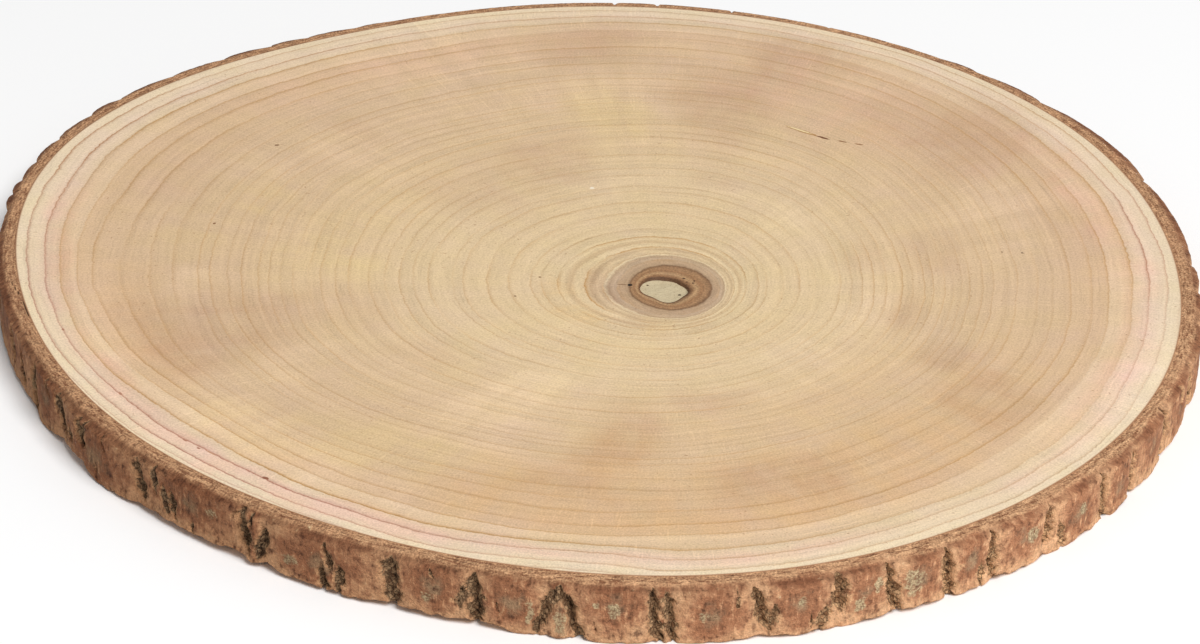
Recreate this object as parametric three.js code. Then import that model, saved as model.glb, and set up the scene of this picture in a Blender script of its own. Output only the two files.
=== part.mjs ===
// A round slice of a young tree trunk, sawn flat on both sides, with its bark left on.
// Millimetres, +Z up. The slice lies on z = 0, with its origin at the middle of its footprint.

import * as THREE from "three";

// Driving dimensions
const THICKNESS = 17;
const WOOD_RADIUS = 175;
const BARK_THICKNESS = 5;
const BARK_FLAT = 2.8; // sawn bark that stays level with the wood
const CHAMFER_DEPTH = 1.6; // sanded slope from there down to the face of the bark
const LOWER_ROUNDING = 0.5;
const RIM_MARGIN = 0.8; // where a fissure bites into the rim, the slope is at least this wide
const FOOTPRINT_MIDDLE = [-2.45, -1.49]; // from the trunk's own centre

// The trunk was not quite round: each wave is [count round the trunk, cosine, sine]
const TRUNK_WAVES = [
  [2, -1.1, 0.0],
  [3, -2.8, 1.5],
  [4, 0.4, -0.8],
  [5, 0.3, 0.6],
  [6, -0.5, -0.4],
];
const BARK_WAVES = [
  [1, 0.1, -0.4],
  [3, 0.3, 0.3],
  [4, -0.3, 0.2],
];

// Pith: a sunken, wavy-edged core, off the centre of the slice
const PITH_CENTRE = [17.6, -22.4];
const PITH_RADII = [6.9, 7.3];
const PITH_DEPTH = 1.2;
const PITH_FLOOR_SCALE = 0.93;
const PITH_WAVES = [
  [1, -0.02, 0.01],
  [2, 0.01, -0.07],
  [3, -0.01, 0.04],
  [4, 0.03, 0.02],
  [5, 0.02, -0.02],
];

// Bark fissures on the side that faces the viewer, each as
// [azimuth in degrees, upper end, lower end, lean, width, depth], in mm below the upper face
const FACING_FISSURES = [
  [198.6, 2.2, 11.0, 3.0, 5.5, 1.8],
  [202.2, 5.0, 13.5, 2.0, 4.5, 1.6],
  [206.0, 2.8, 15.0, 2.4, 6.5, 1.9],
  [212.9, 2.2, 12.5, 5.0, 4.6, 1.8],
  [217.0, 1.9, 9.5, 1.8, 5.2, 2.2],
  [225.9, 2.4, 13.0, 3.2, 4.2, 1.9],
  [230.3, 5.5, 13.0, 1.4, 3.2, 1.2],
  [238.6, 1.8, 13.5, 2.9, 4.6, 2.8],
  [240.4, 5.0, 15.5, -2.2, 3.4, 1.8],
  [247.0, 2.2, 9.0, 1.6, 3.2, 1.5],
  [246.6, 9.0, 17.0, 0.6, 3.2, 2.0],
  [248.1, 8.5, 17.0, -0.3, 3.6, 2.0],
  [252.9, 1.7, 17.0, 1.3, 5.6, 2.4],
  [260.3, 1.9, 17.0, 1.1, 4.4, 2.3],
  [259.1, 6.0, 12.0, -0.5, 3.6, 1.3],
  [266.3, 1.8, 15.5, -5.0, 3.4, 2.2],
  [268.3, 1.8, 17.0, 5.9, 3.6, 2.7],
  [275.1, 2.0, 17.0, 1.9, 3.8, 2.3],
  [276.3, 2.4, 17.0, 2.2, 3.6, 2.0],
  [283.7, 2.0, 14.0, 3.3, 4.6, 2.3],
  [284.7, 7.5, 15.5, -1.3, 3.4, 1.7],
  [290.4, 2.0, 12.0, 0.7, 5.2, 2.4],
  [289.0, 9.5, 17.0, -1.9, 3.6, 1.6],
  [295.4, 1.7, 17.0, 3.1, 4.0, 2.4],
  [300.9, 1.7, 17.0, 2.8, 5.0, 2.6],
  [304.3, 9.0, 17.0, 0.4, 3.0, 1.2],
  [305.7, 1.7, 15.5, 0.6, 4.2, 2.3],
  [312.4, 1.9, 13.0, -0.9, 4.4, 2.2],
  [314.2, 8.5, 17.0, 1.5, 3.2, 1.6],
  [320.6, 1.7, 17.0, 3.9, 4.0, 2.3],
  [325.7, 3.5, 17.0, -0.4, 4.8, 2.2],
  [333.5, 1.7, 11.5, 1.8, 5.6, 2.5],
  [332.9, 10.5, 17.0, 1.2, 4.6, 1.8],
  [338.6, 1.8, 9.0, 2.0, 4.4, 1.8],
  [343.0, 2.6, 15.0, 2.4, 4.8, 2.0],
];

// Round the far side the fissures follow the same habit, drawn with a fixed seed
const FAR_SIDE_START = 351;
const FAR_SIDE_END = 551;
const FAR_SIDE_SEED = 29;
const FAR_SIDE_STEP = [2.6, 7.6]; // degrees from one fissure to the next
const LONG_SHARE = 0.7; // share of the fissures that run most of the way down
const LONG_UPPER_END = [1.7, 2.6];
const LONG_LOWER_END = [13, 17];
const SHORT_UPPER_END = [3, 8];
const SHORT_LENGTH = [5, 8];
const FISSURE_LEAN = [-2.5, 3.5];
const FISSURE_WIDTH = [3.4, 5.4];
const FISSURE_DEPTH = [1.5, 2.7];

// Plates: the bark swells between two fissures that run most of the way down
const PLATE_BORDER_LENGTH = 9;
const PLATE_SWELL = [0.7, 1.7];
const PLATE_SEED = 7;
const PLATE_ROUNDNESS = 3; // the higher, the flatter the plate's middle
const FISSURE_END_FADE = 1.6;

// How finely the surface is divided
const COLUMNS = 480;
const WALL_DEPTHS = [CHAMFER_DEPTH, 3.8, 6.4, 9.0, 11.6, 14.2, THICKNESS - LOWER_ROUNDING];
const FACE_RING_POINTS = 120;
const PITH_RING_POINTS = 40;
const FACE_RING_PLACE = 0.5; // between the pith and the rim

const MEAN_RADIUS = WOOD_RADIUS + BARK_THICKNESS;
const DEGREE = Math.PI / 180;

// How the random numbers follow from one another
const RANDOM_FACTOR = 1664525;
const RANDOM_STEP = 1013904223;
const RANDOM_RANGE = 2 ** 32;

// Random numbers between 0 and 1 that come out the same each time
function seededRandom(seed) {
  let state = seed;
  return () => {
    state = (state * RANDOM_FACTOR + RANDOM_STEP) % RANDOM_RANGE;
    return state / RANDOM_RANGE;
  };
}

function between([low, high], share) {
  return low + (high - low) * share;
}

function waves(table, angle) {
  let sum = 0;
  for (const [count, cosine, sine] of table) {
    sum += cosine * Math.cos(count * angle) + sine * Math.sin(count * angle);
  }
  return sum;
}

function farSideFissures() {
  const random = seededRandom(FAR_SIDE_SEED);
  const fissures = [];
  let azimuth = FAR_SIDE_START;
  while (azimuth < FAR_SIDE_END) {
    const runsLong = random() < LONG_SHARE;
    const upper = between(runsLong ? LONG_UPPER_END : SHORT_UPPER_END, random());
    const lower = runsLong
      ? between(LONG_LOWER_END, random())
      : upper + between(SHORT_LENGTH, random());
    const lean = between(FISSURE_LEAN, random());
    const width = between(FISSURE_WIDTH, random());
    const depth = between(FISSURE_DEPTH, random());
    fissures.push([azimuth % 360, upper, lower, lean, width, depth]);
    azimuth += between(FAR_SIDE_STEP, random());
  }
  return fissures;
}

const FISSURES = [...FACING_FISSURES, ...farSideFissures()];

// Plate borders in order round the trunk, each with the swell of the plate that follows it
function plateBorders() {
  const random = seededRandom(PLATE_SEED);
  return FISSURES.filter(([, upper, lower]) => lower - upper > PLATE_BORDER_LENGTH)
    .map(([azimuth]) => azimuth)
    .sort((a, b) => a - b)
    .map((azimuth) => ({ azimuth, swell: between(PLATE_SWELL, random()) }));
}

const BORDERS = plateBorders();

// Height of the plate over its borders, highest in its middle
function plateSwell(azimuth) {
  let index = BORDERS.findIndex((border) => border.azimuth > azimuth);
  if (index === -1) {
    index = 0;
  }
  const next = BORDERS[index];
  const last = BORDERS[(index + BORDERS.length - 1) % BORDERS.length];
  const span = (next.azimuth - last.azimuth + 360) % 360;
  const share = ((azimuth - last.azimuth + 360) % 360) / span;
  return last.swell * (1 - Math.abs(2 * share - 1) ** PLATE_ROUNDNESS);
}

// How deep the fissures cut at one place on the bark
function fissureCut(azimuth, depth) {
  let cut = 0;
  for (const [middle, upper, lower, lean, width, deepest] of FISSURES) {
    const turn = ((azimuth - middle + 540) % 360) - 180;
    const along = (depth - upper) / (lower - upper);
    const across = Math.abs(turn * DEGREE * MEAN_RADIUS - lean * (along - 0.5)) / (width / 2);
    const toUpperEnd = (depth - upper) / FISSURE_END_FADE + 1;
    const toLowerEnd = (lower - depth) / FISSURE_END_FADE + 1;
    const end = THREE.MathUtils.clamp(Math.min(toUpperEnd, toLowerEnd), 0, 1);
    cut = Math.max(cut, deepest * end * (1 - across * across));
  }
  return cut;
}

function woodRadius(angle) {
  return WOOD_RADIUS + waves(TRUNK_WAVES, angle);
}

function barkRadius(angle, depth) {
  const azimuth = (angle / DEGREE + 360) % 360;
  const face = woodRadius(angle) + BARK_THICKNESS + waves(BARK_WAVES, angle);
  return face + plateSwell(azimuth) - fissureCut(azimuth, depth);
}

function onCircle(angle, radius, z) {
  return new THREE.Vector3(radius * Math.cos(angle), radius * Math.sin(angle), z);
}

// The edge of the upper face, where the sanded slope begins
function upperRimPoint(angle) {
  const level = woodRadius(angle) + BARK_FLAT;
  const notched = barkRadius(angle, CHAMFER_DEPTH) - RIM_MARGIN;
  return onCircle(angle, Math.min(level, notched), THICKNESS);
}

function lowerRimPoint(angle) {
  return onCircle(angle, barkRadius(angle, THICKNESS) - LOWER_ROUNDING, 0);
}

function pithPoint(angle, scale, z) {
  const wave = 1 + waves(PITH_WAVES, angle);
  const x = PITH_CENTRE[0] + PITH_RADII[0] * scale * wave * Math.cos(angle);
  const y = PITH_CENTRE[1] + PITH_RADII[1] * scale * wave * Math.sin(angle);
  return new THREE.Vector3(x, y, z);
}

// A closed surface made of rings of points, joined from one ring to the next
class RingedSurface {
  constructor() {
    this.points = [];
    this.triangles = [];
  }

  ring(count, pointAt) {
    const indices = [];
    for (let step = 0; step < count; step += 1) {
      indices.push(this.points.push(pointAt((step / count) * 2 * Math.PI)) - 1);
    }
    return indices;
  }

  // Walks both rings together, each step going along the ring that is behind
  join(upper, lower) {
    let high = 0;
    let low = 0;
    while (high < upper.length || low < lower.length) {
      const a = upper[high % upper.length];
      const b = lower[low % lower.length];
      if ((high + 1) / upper.length <= (low + 1) / lower.length) {
        high += 1;
        this.triangles.push(a, b, upper[high % upper.length]);
      } else {
        low += 1;
        this.triangles.push(a, b, lower[low % lower.length]);
      }
    }
  }

  geometry() {
    const geometry = new THREE.BufferGeometry().setFromPoints(this.points);
    geometry.setIndex(this.triangles);
    geometry.computeVertexNormals();
    return geometry;
  }
}

// Rings of one sawn face, from the middle of the pith out towards the rim
function faceRings(surface, rimPoint, faceHeight, pithHeight) {
  const middle = new THREE.Vector3(...PITH_CENTRE, pithHeight);
  return [
    surface.ring(1, () => middle),
    surface.ring(PITH_RING_POINTS, (angle) => pithPoint(angle, PITH_FLOOR_SCALE, pithHeight)),
    surface.ring(PITH_RING_POINTS, (angle) => pithPoint(angle, 1, faceHeight)),
    surface.ring(FACE_RING_POINTS, (angle) =>
      pithPoint(angle, 1, faceHeight).lerp(rimPoint(angle), FACE_RING_PLACE)
    ),
  ];
}

// Rings down the outside, from the rim of the upper face to the rim of the lower one
function outsideRings(surface) {
  const upperRim = surface.ring(COLUMNS, upperRimPoint);
  const wall = WALL_DEPTHS.map((depth) =>
    surface.ring(COLUMNS, (angle) => onCircle(angle, barkRadius(angle, depth), THICKNESS - depth))
  );
  return [upperRim, ...wall, surface.ring(COLUMNS, lowerRimPoint)];
}

function woodSliceGeometry() {
  const surface = new RingedSurface();
  const upperFace = faceRings(surface, upperRimPoint, THICKNESS, THICKNESS - PITH_DEPTH);
  const lowerFace = faceRings(surface, lowerRimPoint, 0, PITH_DEPTH);
  const rings = [...upperFace, ...outsideRings(surface), ...lowerFace.reverse()];
  for (let index = 1; index < rings.length; index += 1) {
    surface.join(rings[index - 1], rings[index]);
  }
  return surface.geometry().translate(-FOOTPRINT_MIDDLE[0], -FOOTPRINT_MIDDLE[1], 0);
}

const woodMaterial = new THREE.MeshStandardMaterial({
  color: 0xdec29a,
  roughness: 0.7,
  metalness: 0,
});

const woodSlice = new THREE.Mesh(woodSliceGeometry(), woodMaterial);
woodSlice.name = "wood_slice";

const part = new THREE.Group();
part.add(woodSlice);

export default part;
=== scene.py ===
# A sawn slice of a young tree trunk: end grain with its growth rings, a sunken pith, and bark.
# The tables are in millimetres from the trunk's own centre, and the finished pieces in metres.

import math
import random

import bmesh
import bpy
import numpy as np
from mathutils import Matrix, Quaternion, Vector, noise


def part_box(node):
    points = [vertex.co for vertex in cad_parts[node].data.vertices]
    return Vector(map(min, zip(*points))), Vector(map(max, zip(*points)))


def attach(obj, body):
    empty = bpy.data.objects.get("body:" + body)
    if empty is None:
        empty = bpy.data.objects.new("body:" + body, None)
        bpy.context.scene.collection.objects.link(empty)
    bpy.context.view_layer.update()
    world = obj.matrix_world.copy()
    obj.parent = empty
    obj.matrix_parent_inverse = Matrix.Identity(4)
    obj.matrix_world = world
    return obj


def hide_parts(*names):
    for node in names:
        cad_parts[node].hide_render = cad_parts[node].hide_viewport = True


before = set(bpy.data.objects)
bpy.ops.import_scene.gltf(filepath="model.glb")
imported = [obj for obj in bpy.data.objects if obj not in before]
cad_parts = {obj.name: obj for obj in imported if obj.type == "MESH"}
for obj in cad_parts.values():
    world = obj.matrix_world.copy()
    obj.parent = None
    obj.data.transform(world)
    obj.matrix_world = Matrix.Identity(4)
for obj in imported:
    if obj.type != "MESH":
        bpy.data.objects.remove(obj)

bl_info = {
    "name": "Wood Slice",
    "version": (1, 0, 0),
    "blender": (4, 5, 0),
    "location": "View3D > Sidebar > Wood Slice",
    "description": "Builds a round wood slice with growth rings, pith and bark",
    "category": "Add Mesh",
}

CAD_NODE = "wood_slice"
BODY = "root"
MILLIMETRE = 0.001
FRAME_LOW, FRAME_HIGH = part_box(CAD_NODE)
FRAME_THICKNESS = FRAME_HIGH.z - FRAME_LOW.z
TRUNK_CENTRE = (2.45, 1.49)  # from the middle of the footprint

# Outline of the trunk and of its bark, each wave as its count round the trunk, cosine and sine
TRUNK_WAVES = ((2, -1.1, 0.0), (3, -2.8, 1.5), (4, 0.4, -0.8), (5, 0.3, 0.6), (6, -0.5, -0.4))
BARK_WAVES = ((1, 0.1, -0.4), (3, 0.3, 0.3), (4, -0.3, 0.2))
# How unevenly the rings lie between the pith and the edge, as waves of growth
GROWTH_WAVES = (
    (1, -0.0175, 0.0174),
    (2, -0.009, 0.0156),
    (3, 0.0007, -0.0095),
    (4, -0.003, 0.0),
    (5, 0.0024, -0.0034),
)
# Course of the outer rings, each as azimuth round the pith in degrees, drift in growth of the
# rings before 0.9, drift of those after it, pinkness of their lines
OUTER_RINGS = (
    (0, -0.007, 0.0, 0.7), (10, -0.005, 0.002, 0.8), (20, -0.006, 0.001, 0.6),
    (30, -0.008, 0.0, 0.2), (45, -0.007, 0.001, 0.1), (60, -0.003, 0.001, 0.2),
    (90, 0.003, -0.002, 0.2), (115, -0.004, 0.003, 0.3), (140, 0.002, -0.001, 0.3),
    (170, 0.006, 0.002, 0.5), (182, 0.018, 0.003, 0.8), (192, 0.021, 0.005, 1.0),
    (200, 0.011, 0.005, 0.9), (206, 0.003, 0.002, 0.8), (213, -0.012, -0.004, 0.8),
    (220, -0.024, -0.009, 0.8), (227, -0.024, -0.011, 0.9), (235, -0.01, -0.009, 0.9),
    (243, -0.004, -0.005, 0.9), (250, 0.001, 0.0, 0.8), (257, 0.007, 0.004, 0.7),
    (262, 0.01, 0.0, 0.6), (267, 0.008, -0.008, 0.5), (271, 0.006, -0.007, 0.4),
    (276, 0.003, 0.008, 0.2), (280, 0.002, 0.011, 0.1), (287, 0.001, 0.007, 0.15),
    (295, 0.0, 0.003, 0.2), (303, -0.002, 0.002, 0.2), (310, -0.003, 0.006, 0.15),
    (320, -0.006, 0.009, 0.15), (328, -0.007, 0.004, 0.3), (335, -0.008, -0.002, 0.5),
    (343, -0.009, -0.004, 0.6), (352, -0.009, -0.003, 0.7), (360, -0.007, 0.0, 0.7),
)
# How strong the lines of the outer rings are, by azimuth round the pith
LINE_AZIMUTHS = (0, 25, 35, 60, 180, 265, 280, 300, 335, 350, 360)
LINE_STRENGTHS = (0.9, 0.9, 0.6, 0.6, 0.9, 1.0, 0.75, 0.5, 0.35, 0.55, 0.9)

# Pith and the brown ring round it
PITH_CENTRE = np.array((17.6, -22.4))
PITH_RADII = np.array((6.9, 7.3))
PITH_WAVES = (
    (1, -0.02, 0.01), (2, 0.01, -0.07), (3, -0.01, 0.04), (4, 0.03, 0.02), (5, 0.02, -0.02),
)
PITH_DEPTH = 1.2
PITH_RIM = 0.25  # how much higher its fill lies at the rim
PITH_GROWTH = 0.04
BROWN_CENTRE = np.array((19.3, -21.4))
BROWN_RADII = np.array((12.0, 13.7))
BROWN_GROWTH = 0.075
EVEN_GROWTH = 0.16
NEAR_EDGE = 0.9985  # a last narrow step keeps the shading of the sawn faces flat up to the bark

# Growth rings: how far out each darker line lies, and how strong it is
RINGS = (
    (0.095, 0.35), (0.112, 0.4), (0.131, 0.8), (0.162, 0.75), (0.187, 0.4), (0.203, 0.35),
    (0.237, 0.4), (0.27, 0.45), (0.305, 0.35), (0.32, 0.3), (0.357, 0.45), (0.38, 0.3),
    (0.401, 0.35), (0.423, 0.4), (0.448, 0.35), (0.48, 0.45), (0.5, 0.3), (0.523, 0.4),
    (0.541, 0.35), (0.565, 0.4), (0.583, 0.3), (0.6, 0.35), (0.616, 0.35), (0.643, 0.4),
    (0.663, 0.35), (0.69, 0.4), (0.708, 0.35), (0.749, 0.45), (0.779, 0.4), (0.814, 0.5),
    (0.855, 0.6), (0.884, 0.7), (0.922, 1.0), (0.949, 1.0), (0.979, 1.0),
)
# Colour of the wood from the pith outwards, as sRGB. The first stop, on the wall of the sunken
# pith, is painted shade
WOOD_COLOURS = (
    (0.04, (98, 68, 44)), (0.0445, (150, 110, 76)), (0.051, (184, 148, 108)),
    (0.058, (152, 112, 78)), (0.068, (168, 130, 94)), (0.0735, (134, 100, 72)),
    (0.0758, (100, 74, 54)), (0.0785, (184, 155, 124)), (0.088, (188, 160, 131)),
    (0.098, (196, 169, 139)), (0.1055, (188, 160, 128)), (0.1092, (230, 208, 170)),
    (0.1125, (206, 179, 142)), (0.119, (222, 197, 157)), (0.1235, (190, 162, 126)),
    (0.129, (221, 196, 157)), (0.139, (224, 200, 160)), (0.146, (200, 171, 132)),
    (0.154, (224, 200, 160)), (0.175, (221, 196, 156)), (0.25, (222, 196, 155)),
    (0.35, (222, 196, 157)), (0.45, (219, 191, 152)), (0.55, (217, 188, 150)),
    (0.65, (215, 185, 148)), (0.75, (214, 184, 148)), (0.876, (215, 183, 147)),
    (0.888, (223, 194, 159)), (0.917, (221, 192, 156)), (0.926, (226, 201, 167)),
    (0.95, (231, 206, 177)), (0.985, (233, 212, 179)),
)
# Soft stains in the wood, each as azimuth round the pith in degrees, growth, half width in
# degrees, half width in growth, strength
DARK_STAINS = (
    (38, 0.82, 7, 0.14, 0.9), (75, 0.6, 7, 0.16, 0.6), (67, 0.84, 6, 0.11, 0.8),
    (94, 0.83, 5, 0.1, 0.6), (113, 0.43, 10, 0.07, 0.85), (130, 0.38, 15, 0.09, 0.5),
    (71, 0.36, 6, 0.03, 0.4), (14, 0.41, 8, 0.03, 0.4), (10, 0.55, 8, 0.06, 0.4),
    (201, 0.66, 7, 0.12, 0.7), (205, 0.77, 8, 0.07, 0.8), (200, 0.5, 8, 0.06, 0.4),
    (189, 0.94, 7, 0.04, 0.35), (268, 0.57, 7, 0.12, 0.75), (265, 0.72, 7, 0.07, 0.5),
    (290, 0.76, 8, 0.07, 0.7), (325, 0.76, 5, 0.08, 0.7), (332, 0.63, 6, 0.06, 0.6),
    (347, 0.5, 8, 0.03, 0.6), (255, 0.13, 14, 0.03, 0.5), (298, 0.16, 8, 0.02, 0.4),
    (160, 0.8, 9, 0.04, 0.3), (135, 0.68, 3, 0.05, 0.4), (60, 0.57, 6, 0.01, 0.4),
    (15, 0.83, 14, 0.05, 0.3), (48, 0.75, 8, 0.1, 0.3), (285, 0.45, 8, 0.04, 0.6),
    (183, 0.117, 28, 0.013, 0.9), (222, 0.45, 7, 0.04, 0.3),
)
ORANGE_STAINS = (
    (300, 0.74, 32, 0.08, 0.7), (285, 0.84, 26, 0.05, 0.8), (259, 0.78, 8, 0.09, 0.8),
    (318, 0.77, 7, 0.08, 0.7), (225, 0.17, 16, 0.02, 0.6), (190, 0.17, 12, 0.02, 0.5),
    (275, 0.15, 8, 0.03, 0.4), (300, 0.55, 25, 0.06, 0.3), (230, 0.88, 5, 0.03, 0.4),
    (269, 0.7, 8, 0.15, 0.8), (200, 0.82, 12, 0.06, 0.5),
)
PALE_STAINS_AND_LIGHT = (
    (43, 0.31, 8, 0.05, 0.5), (22, 0.76, 4, 0.13, 0.8), (122, 0.62, 5, 0.05, 0.4),
    (108, 0.62, 9, 0.1, 0.45), (105, 0.79, 9, 0.06, 0.5), (153, 0.7, 5, 0.05, 0.4),
    (78, 0.81, 7, 0.06, 0.5), (247, 0.44, 6, 0.05, 1.0), (247, 0.54, 6, 0.08, 1.0),
    (250, 0.64, 7, 0.05, 0.6), (212, 0.6, 4, 0.05, 0.5), (217, 0.68, 5, 0.05, 0.6),
    (191, 0.72, 4, 0.025, 0.7), (200, 0.88, 10, 0.03, 0.7), (222, 0.86, 8, 0.05, 0.8),
    (330, 0.9, 6, 0.03, 0.6), (320, 0.38, 13, 0.04, 0.45), (345, 0.42, 13, 0.04, 0.45),
    (310, 0.34, 6, 0.03, 0.4), (282, 0.64, 6, 0.02, 0.4), (10, 0.72, 9, 0.08, 0.3),
    # The entries at 92 and 119 degrees are painted light, brightening the far side where less light
    # falls
    (355, 0.9, 10, 0.03, 0.4), (300, 0.47, 20, 0.02, 0.3), (92, 0.66, 9, 0.09, 0.8),
    (119, 0.8, 14, 0.12, 0.55), (137, 0.66, 12, 0.08, 0.4), (231, 0.84, 13, 0.06, 1.0),
    (30, 0.76, 6, 0.05, 0.7), (60, 0.8, 7, 0.06, 0.6), (336, 0.955, 14, 0.03, 0.6),
)
GREEN_STAINS = (
    (95, 0.57, 7, 0.09, 0.8), (180, 0.52, 10, 0.09, 0.6), (160, 0.5, 20, 0.08, 0.35),
    (165, 0.66, 10, 0.06, 0.5), (240, 0.75, 10, 0.08, 1.0), (225, 0.83, 8, 0.05, 0.6),
    (178, 0.73, 6, 0.05, 0.4), (300, 0.95, 25, 0.02, 0.3),
)
PINK_STAINS = (
    (238, 0.95, 22, 0.022, 1.0), (212, 0.93, 10, 0.022, 0.7), (182, 0.93, 14, 0.02, 0.6),
    (350, 0.93, 24, 0.03, 0.6), (18, 0.9, 16, 0.03, 0.6), (275, 0.955, 20, 0.015, 0.6),
    (325, 0.955, 12, 0.015, 0.4), (60, 0.7, 20, 0.1, 0.3), (120, 0.85, 20, 0.06, 0.2),
)
# How unevenly the edges of the stains run, in degrees and in growth
STAIN_WANDER = 5
STAIN_DRIFT = 0.03
# What a stain of each kind does to the red, green and blue of the wood
STAINS = {
    "stain_dark": (DARK_STAINS, (0.88, 0.83, 0.83)),
    "stain_orange": (ORANGE_STAINS, (1.01, 0.95, 0.85)),
    "pale_stain_and_light": (PALE_STAINS_AND_LIGHT, (1.09, 1.1, 1.13)),
    "stain_green": (GREEN_STAINS, (1.03, 1.05, 0.95)),
    "stain_pink": (PINK_STAINS, (1.03, 0.92, 0.965)),
}
# Small marks on the upper face, each as x, y, half length, half width, turn in degrees, sRGB
WOOD_MARKS = (
    (-104.1, 61.9, 0.9, 0.5, 20, (128, 92, 62)), (119.1, 9.4, 0.4, 0.3, 0, (130, 100, 74)),
    (125.2, 9.3, 0.5, 0.4, 0, (104, 78, 58)), (-19.2, -17.8, 0.5, 0.4, 0, (132, 98, 66)),
    (-26.1, -30.0, 0.5, 0.4, 0, (128, 92, 62)), (-5.0, 41.0, 0.8, 0.8, 10, (242, 228, 204)),
    # The marks from 61.0, 86.3 to 78.6, 78.5 draw a check flat: a pale line, and its crack in
    # painted shade
    (61.0, 86.3, 6.8, 0.9, -33, (174, 128, 76)), (60.2, 87.0, 5.2, 0.5, -33, (236, 212, 164)),
    (67.5, 82.1, 2.6, 0.6, -30, (120, 78, 48)), (73.5, 80.0, 1.8, 0.4, -22, (140, 96, 60)),
    (78.6, 78.5, 1.6, 0.4, -14, (150, 106, 68)), (7.4, -20.5, 0.9, 0.8, 0, (40, 30, 22)),
    (5.2, -20.4, 1.6, 0.3, 0, (140, 108, 80)), (23.3, -15.2, 0.5, 0.5, 0, (84, 58, 38)),
    (24.2, -17.3, 0.4, 0.4, 0, (92, 62, 42)), (26.0, -17.8, 0.5, 0.4, 0, (88, 60, 40)),
    (26.4, -16.5, 0.4, 0.5, 0, (88, 60, 40)), (-118.0, 8.0, 0.8, 0.5, 70, (142, 104, 72)),
    (-154.1, -60.3, 0.8, 0.4, -60, (176, 124, 98)),
    (-133.3, -95.1, 0.9, 0.4, -50, (180, 130, 104)),
    (-112.7, -118.9, 1.0, 0.4, -40, (180, 130, 104)),
    (-108.6, -122.8, 0.7, 0.4, -40, (172, 120, 96)),
    (-89.1, -136.9, 1.2, 0.7, -30, (146, 94, 70)),
    (-105.0, -125.0, 2.2, 0.3, -40, (196, 148, 116)),
)
PITH_MARKS = ((22.0, -23.3, 0.6, 0.5, 0, (70, 54, 40)), (12.6, -18.2, 0.4, 0.4, 0, (92, 72, 52)))

# Colours that the settings leave out, as sRGB. A pair is mixed by a pattern, and the crumbs of a
# fissure have a pair for the lit side of the bark and a pair with painted shade for its shaded side
WOOD_PORE = (150, 105, 70)
WOOD_EDGE = (168, 122, 88)
PITH_SHADE = (190, 172, 138)
PITH_SPECK = (136, 114, 86)
BARK_PALE_STREAK = (224, 174, 132)
BARK_DARK_STREAK = (100, 62, 45)
# Painted shade under the overhanging edge of the slope
BARK_EAVE_SHADE = (122, 74, 50)
SAWN_BARK = ((136, 90, 62), (220, 172, 130))
LICHEN = ((134, 114, 86), (204, 186, 148))
LIT_CRUMBS = ((152, 107, 73), (228, 184, 138))
SHADED_CRUMBS = ((106, 78, 56), (206, 174, 138))
# Painted light and shade on the red, green and blue of the bark, from the lit side to the most
# shaded
SIDE_LIGHT_AND_SHADE = ((1.12, 1.14, 1.14), (0.59, 0.54, 0.49))
# The two casts of the wood, which change over in clouds
WOOD_CASTS = ((1.0, 1.0, 0.95), (1.0, 0.988, 1.04))

# Colour of a bark plate from its middle out to the fissures round it, as sRGB
PLATE_COLOURS = (
    (0.0, (172, 138, 106)), (0.14, (164, 122, 92)), (0.3, (163, 111, 80)), (0.5, (178, 123, 89)),
    (0.7, (194, 142, 106)), (0.88, (210, 159, 119)), (1.0, (222, 173, 132)),
)
# Painted shade on the bark by azimuth, darkest round 205 degrees; where it is 0, round 310, light
# is painted on instead
SIDE_SHADE_AZIMUTHS = (0, 60, 120, 185, 205, 235, 260, 290, 310, 340, 360)
SIDE_SHADE = (0.45, 0.6, 0.7, 0.9, 1.0, 0.95, 0.65, 0.2, 0.0, 0.15, 0.45)
# A crack between the wood and the bark, a line of painted shade, as azimuth and distance from the
# wood
CRACK_AZIMUTHS = (190.4, 190.7, 191.0, 193.6, 195.9, 197.7, 198.6)
CRACK_DISTANCES = (4.2, 3.0, 2.1, 0.6, 0.25, 0.15, -0.3)
# Painted shade in thin lines where the bark has come away along the slope: azimuth, half width in
# degrees
EAVES = ((255, 5.0), (273.5, 1.8), (279.5, 1.8), (293, 7.0), (228, 2.5), (318, 2.0), (213, 1.5))

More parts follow.
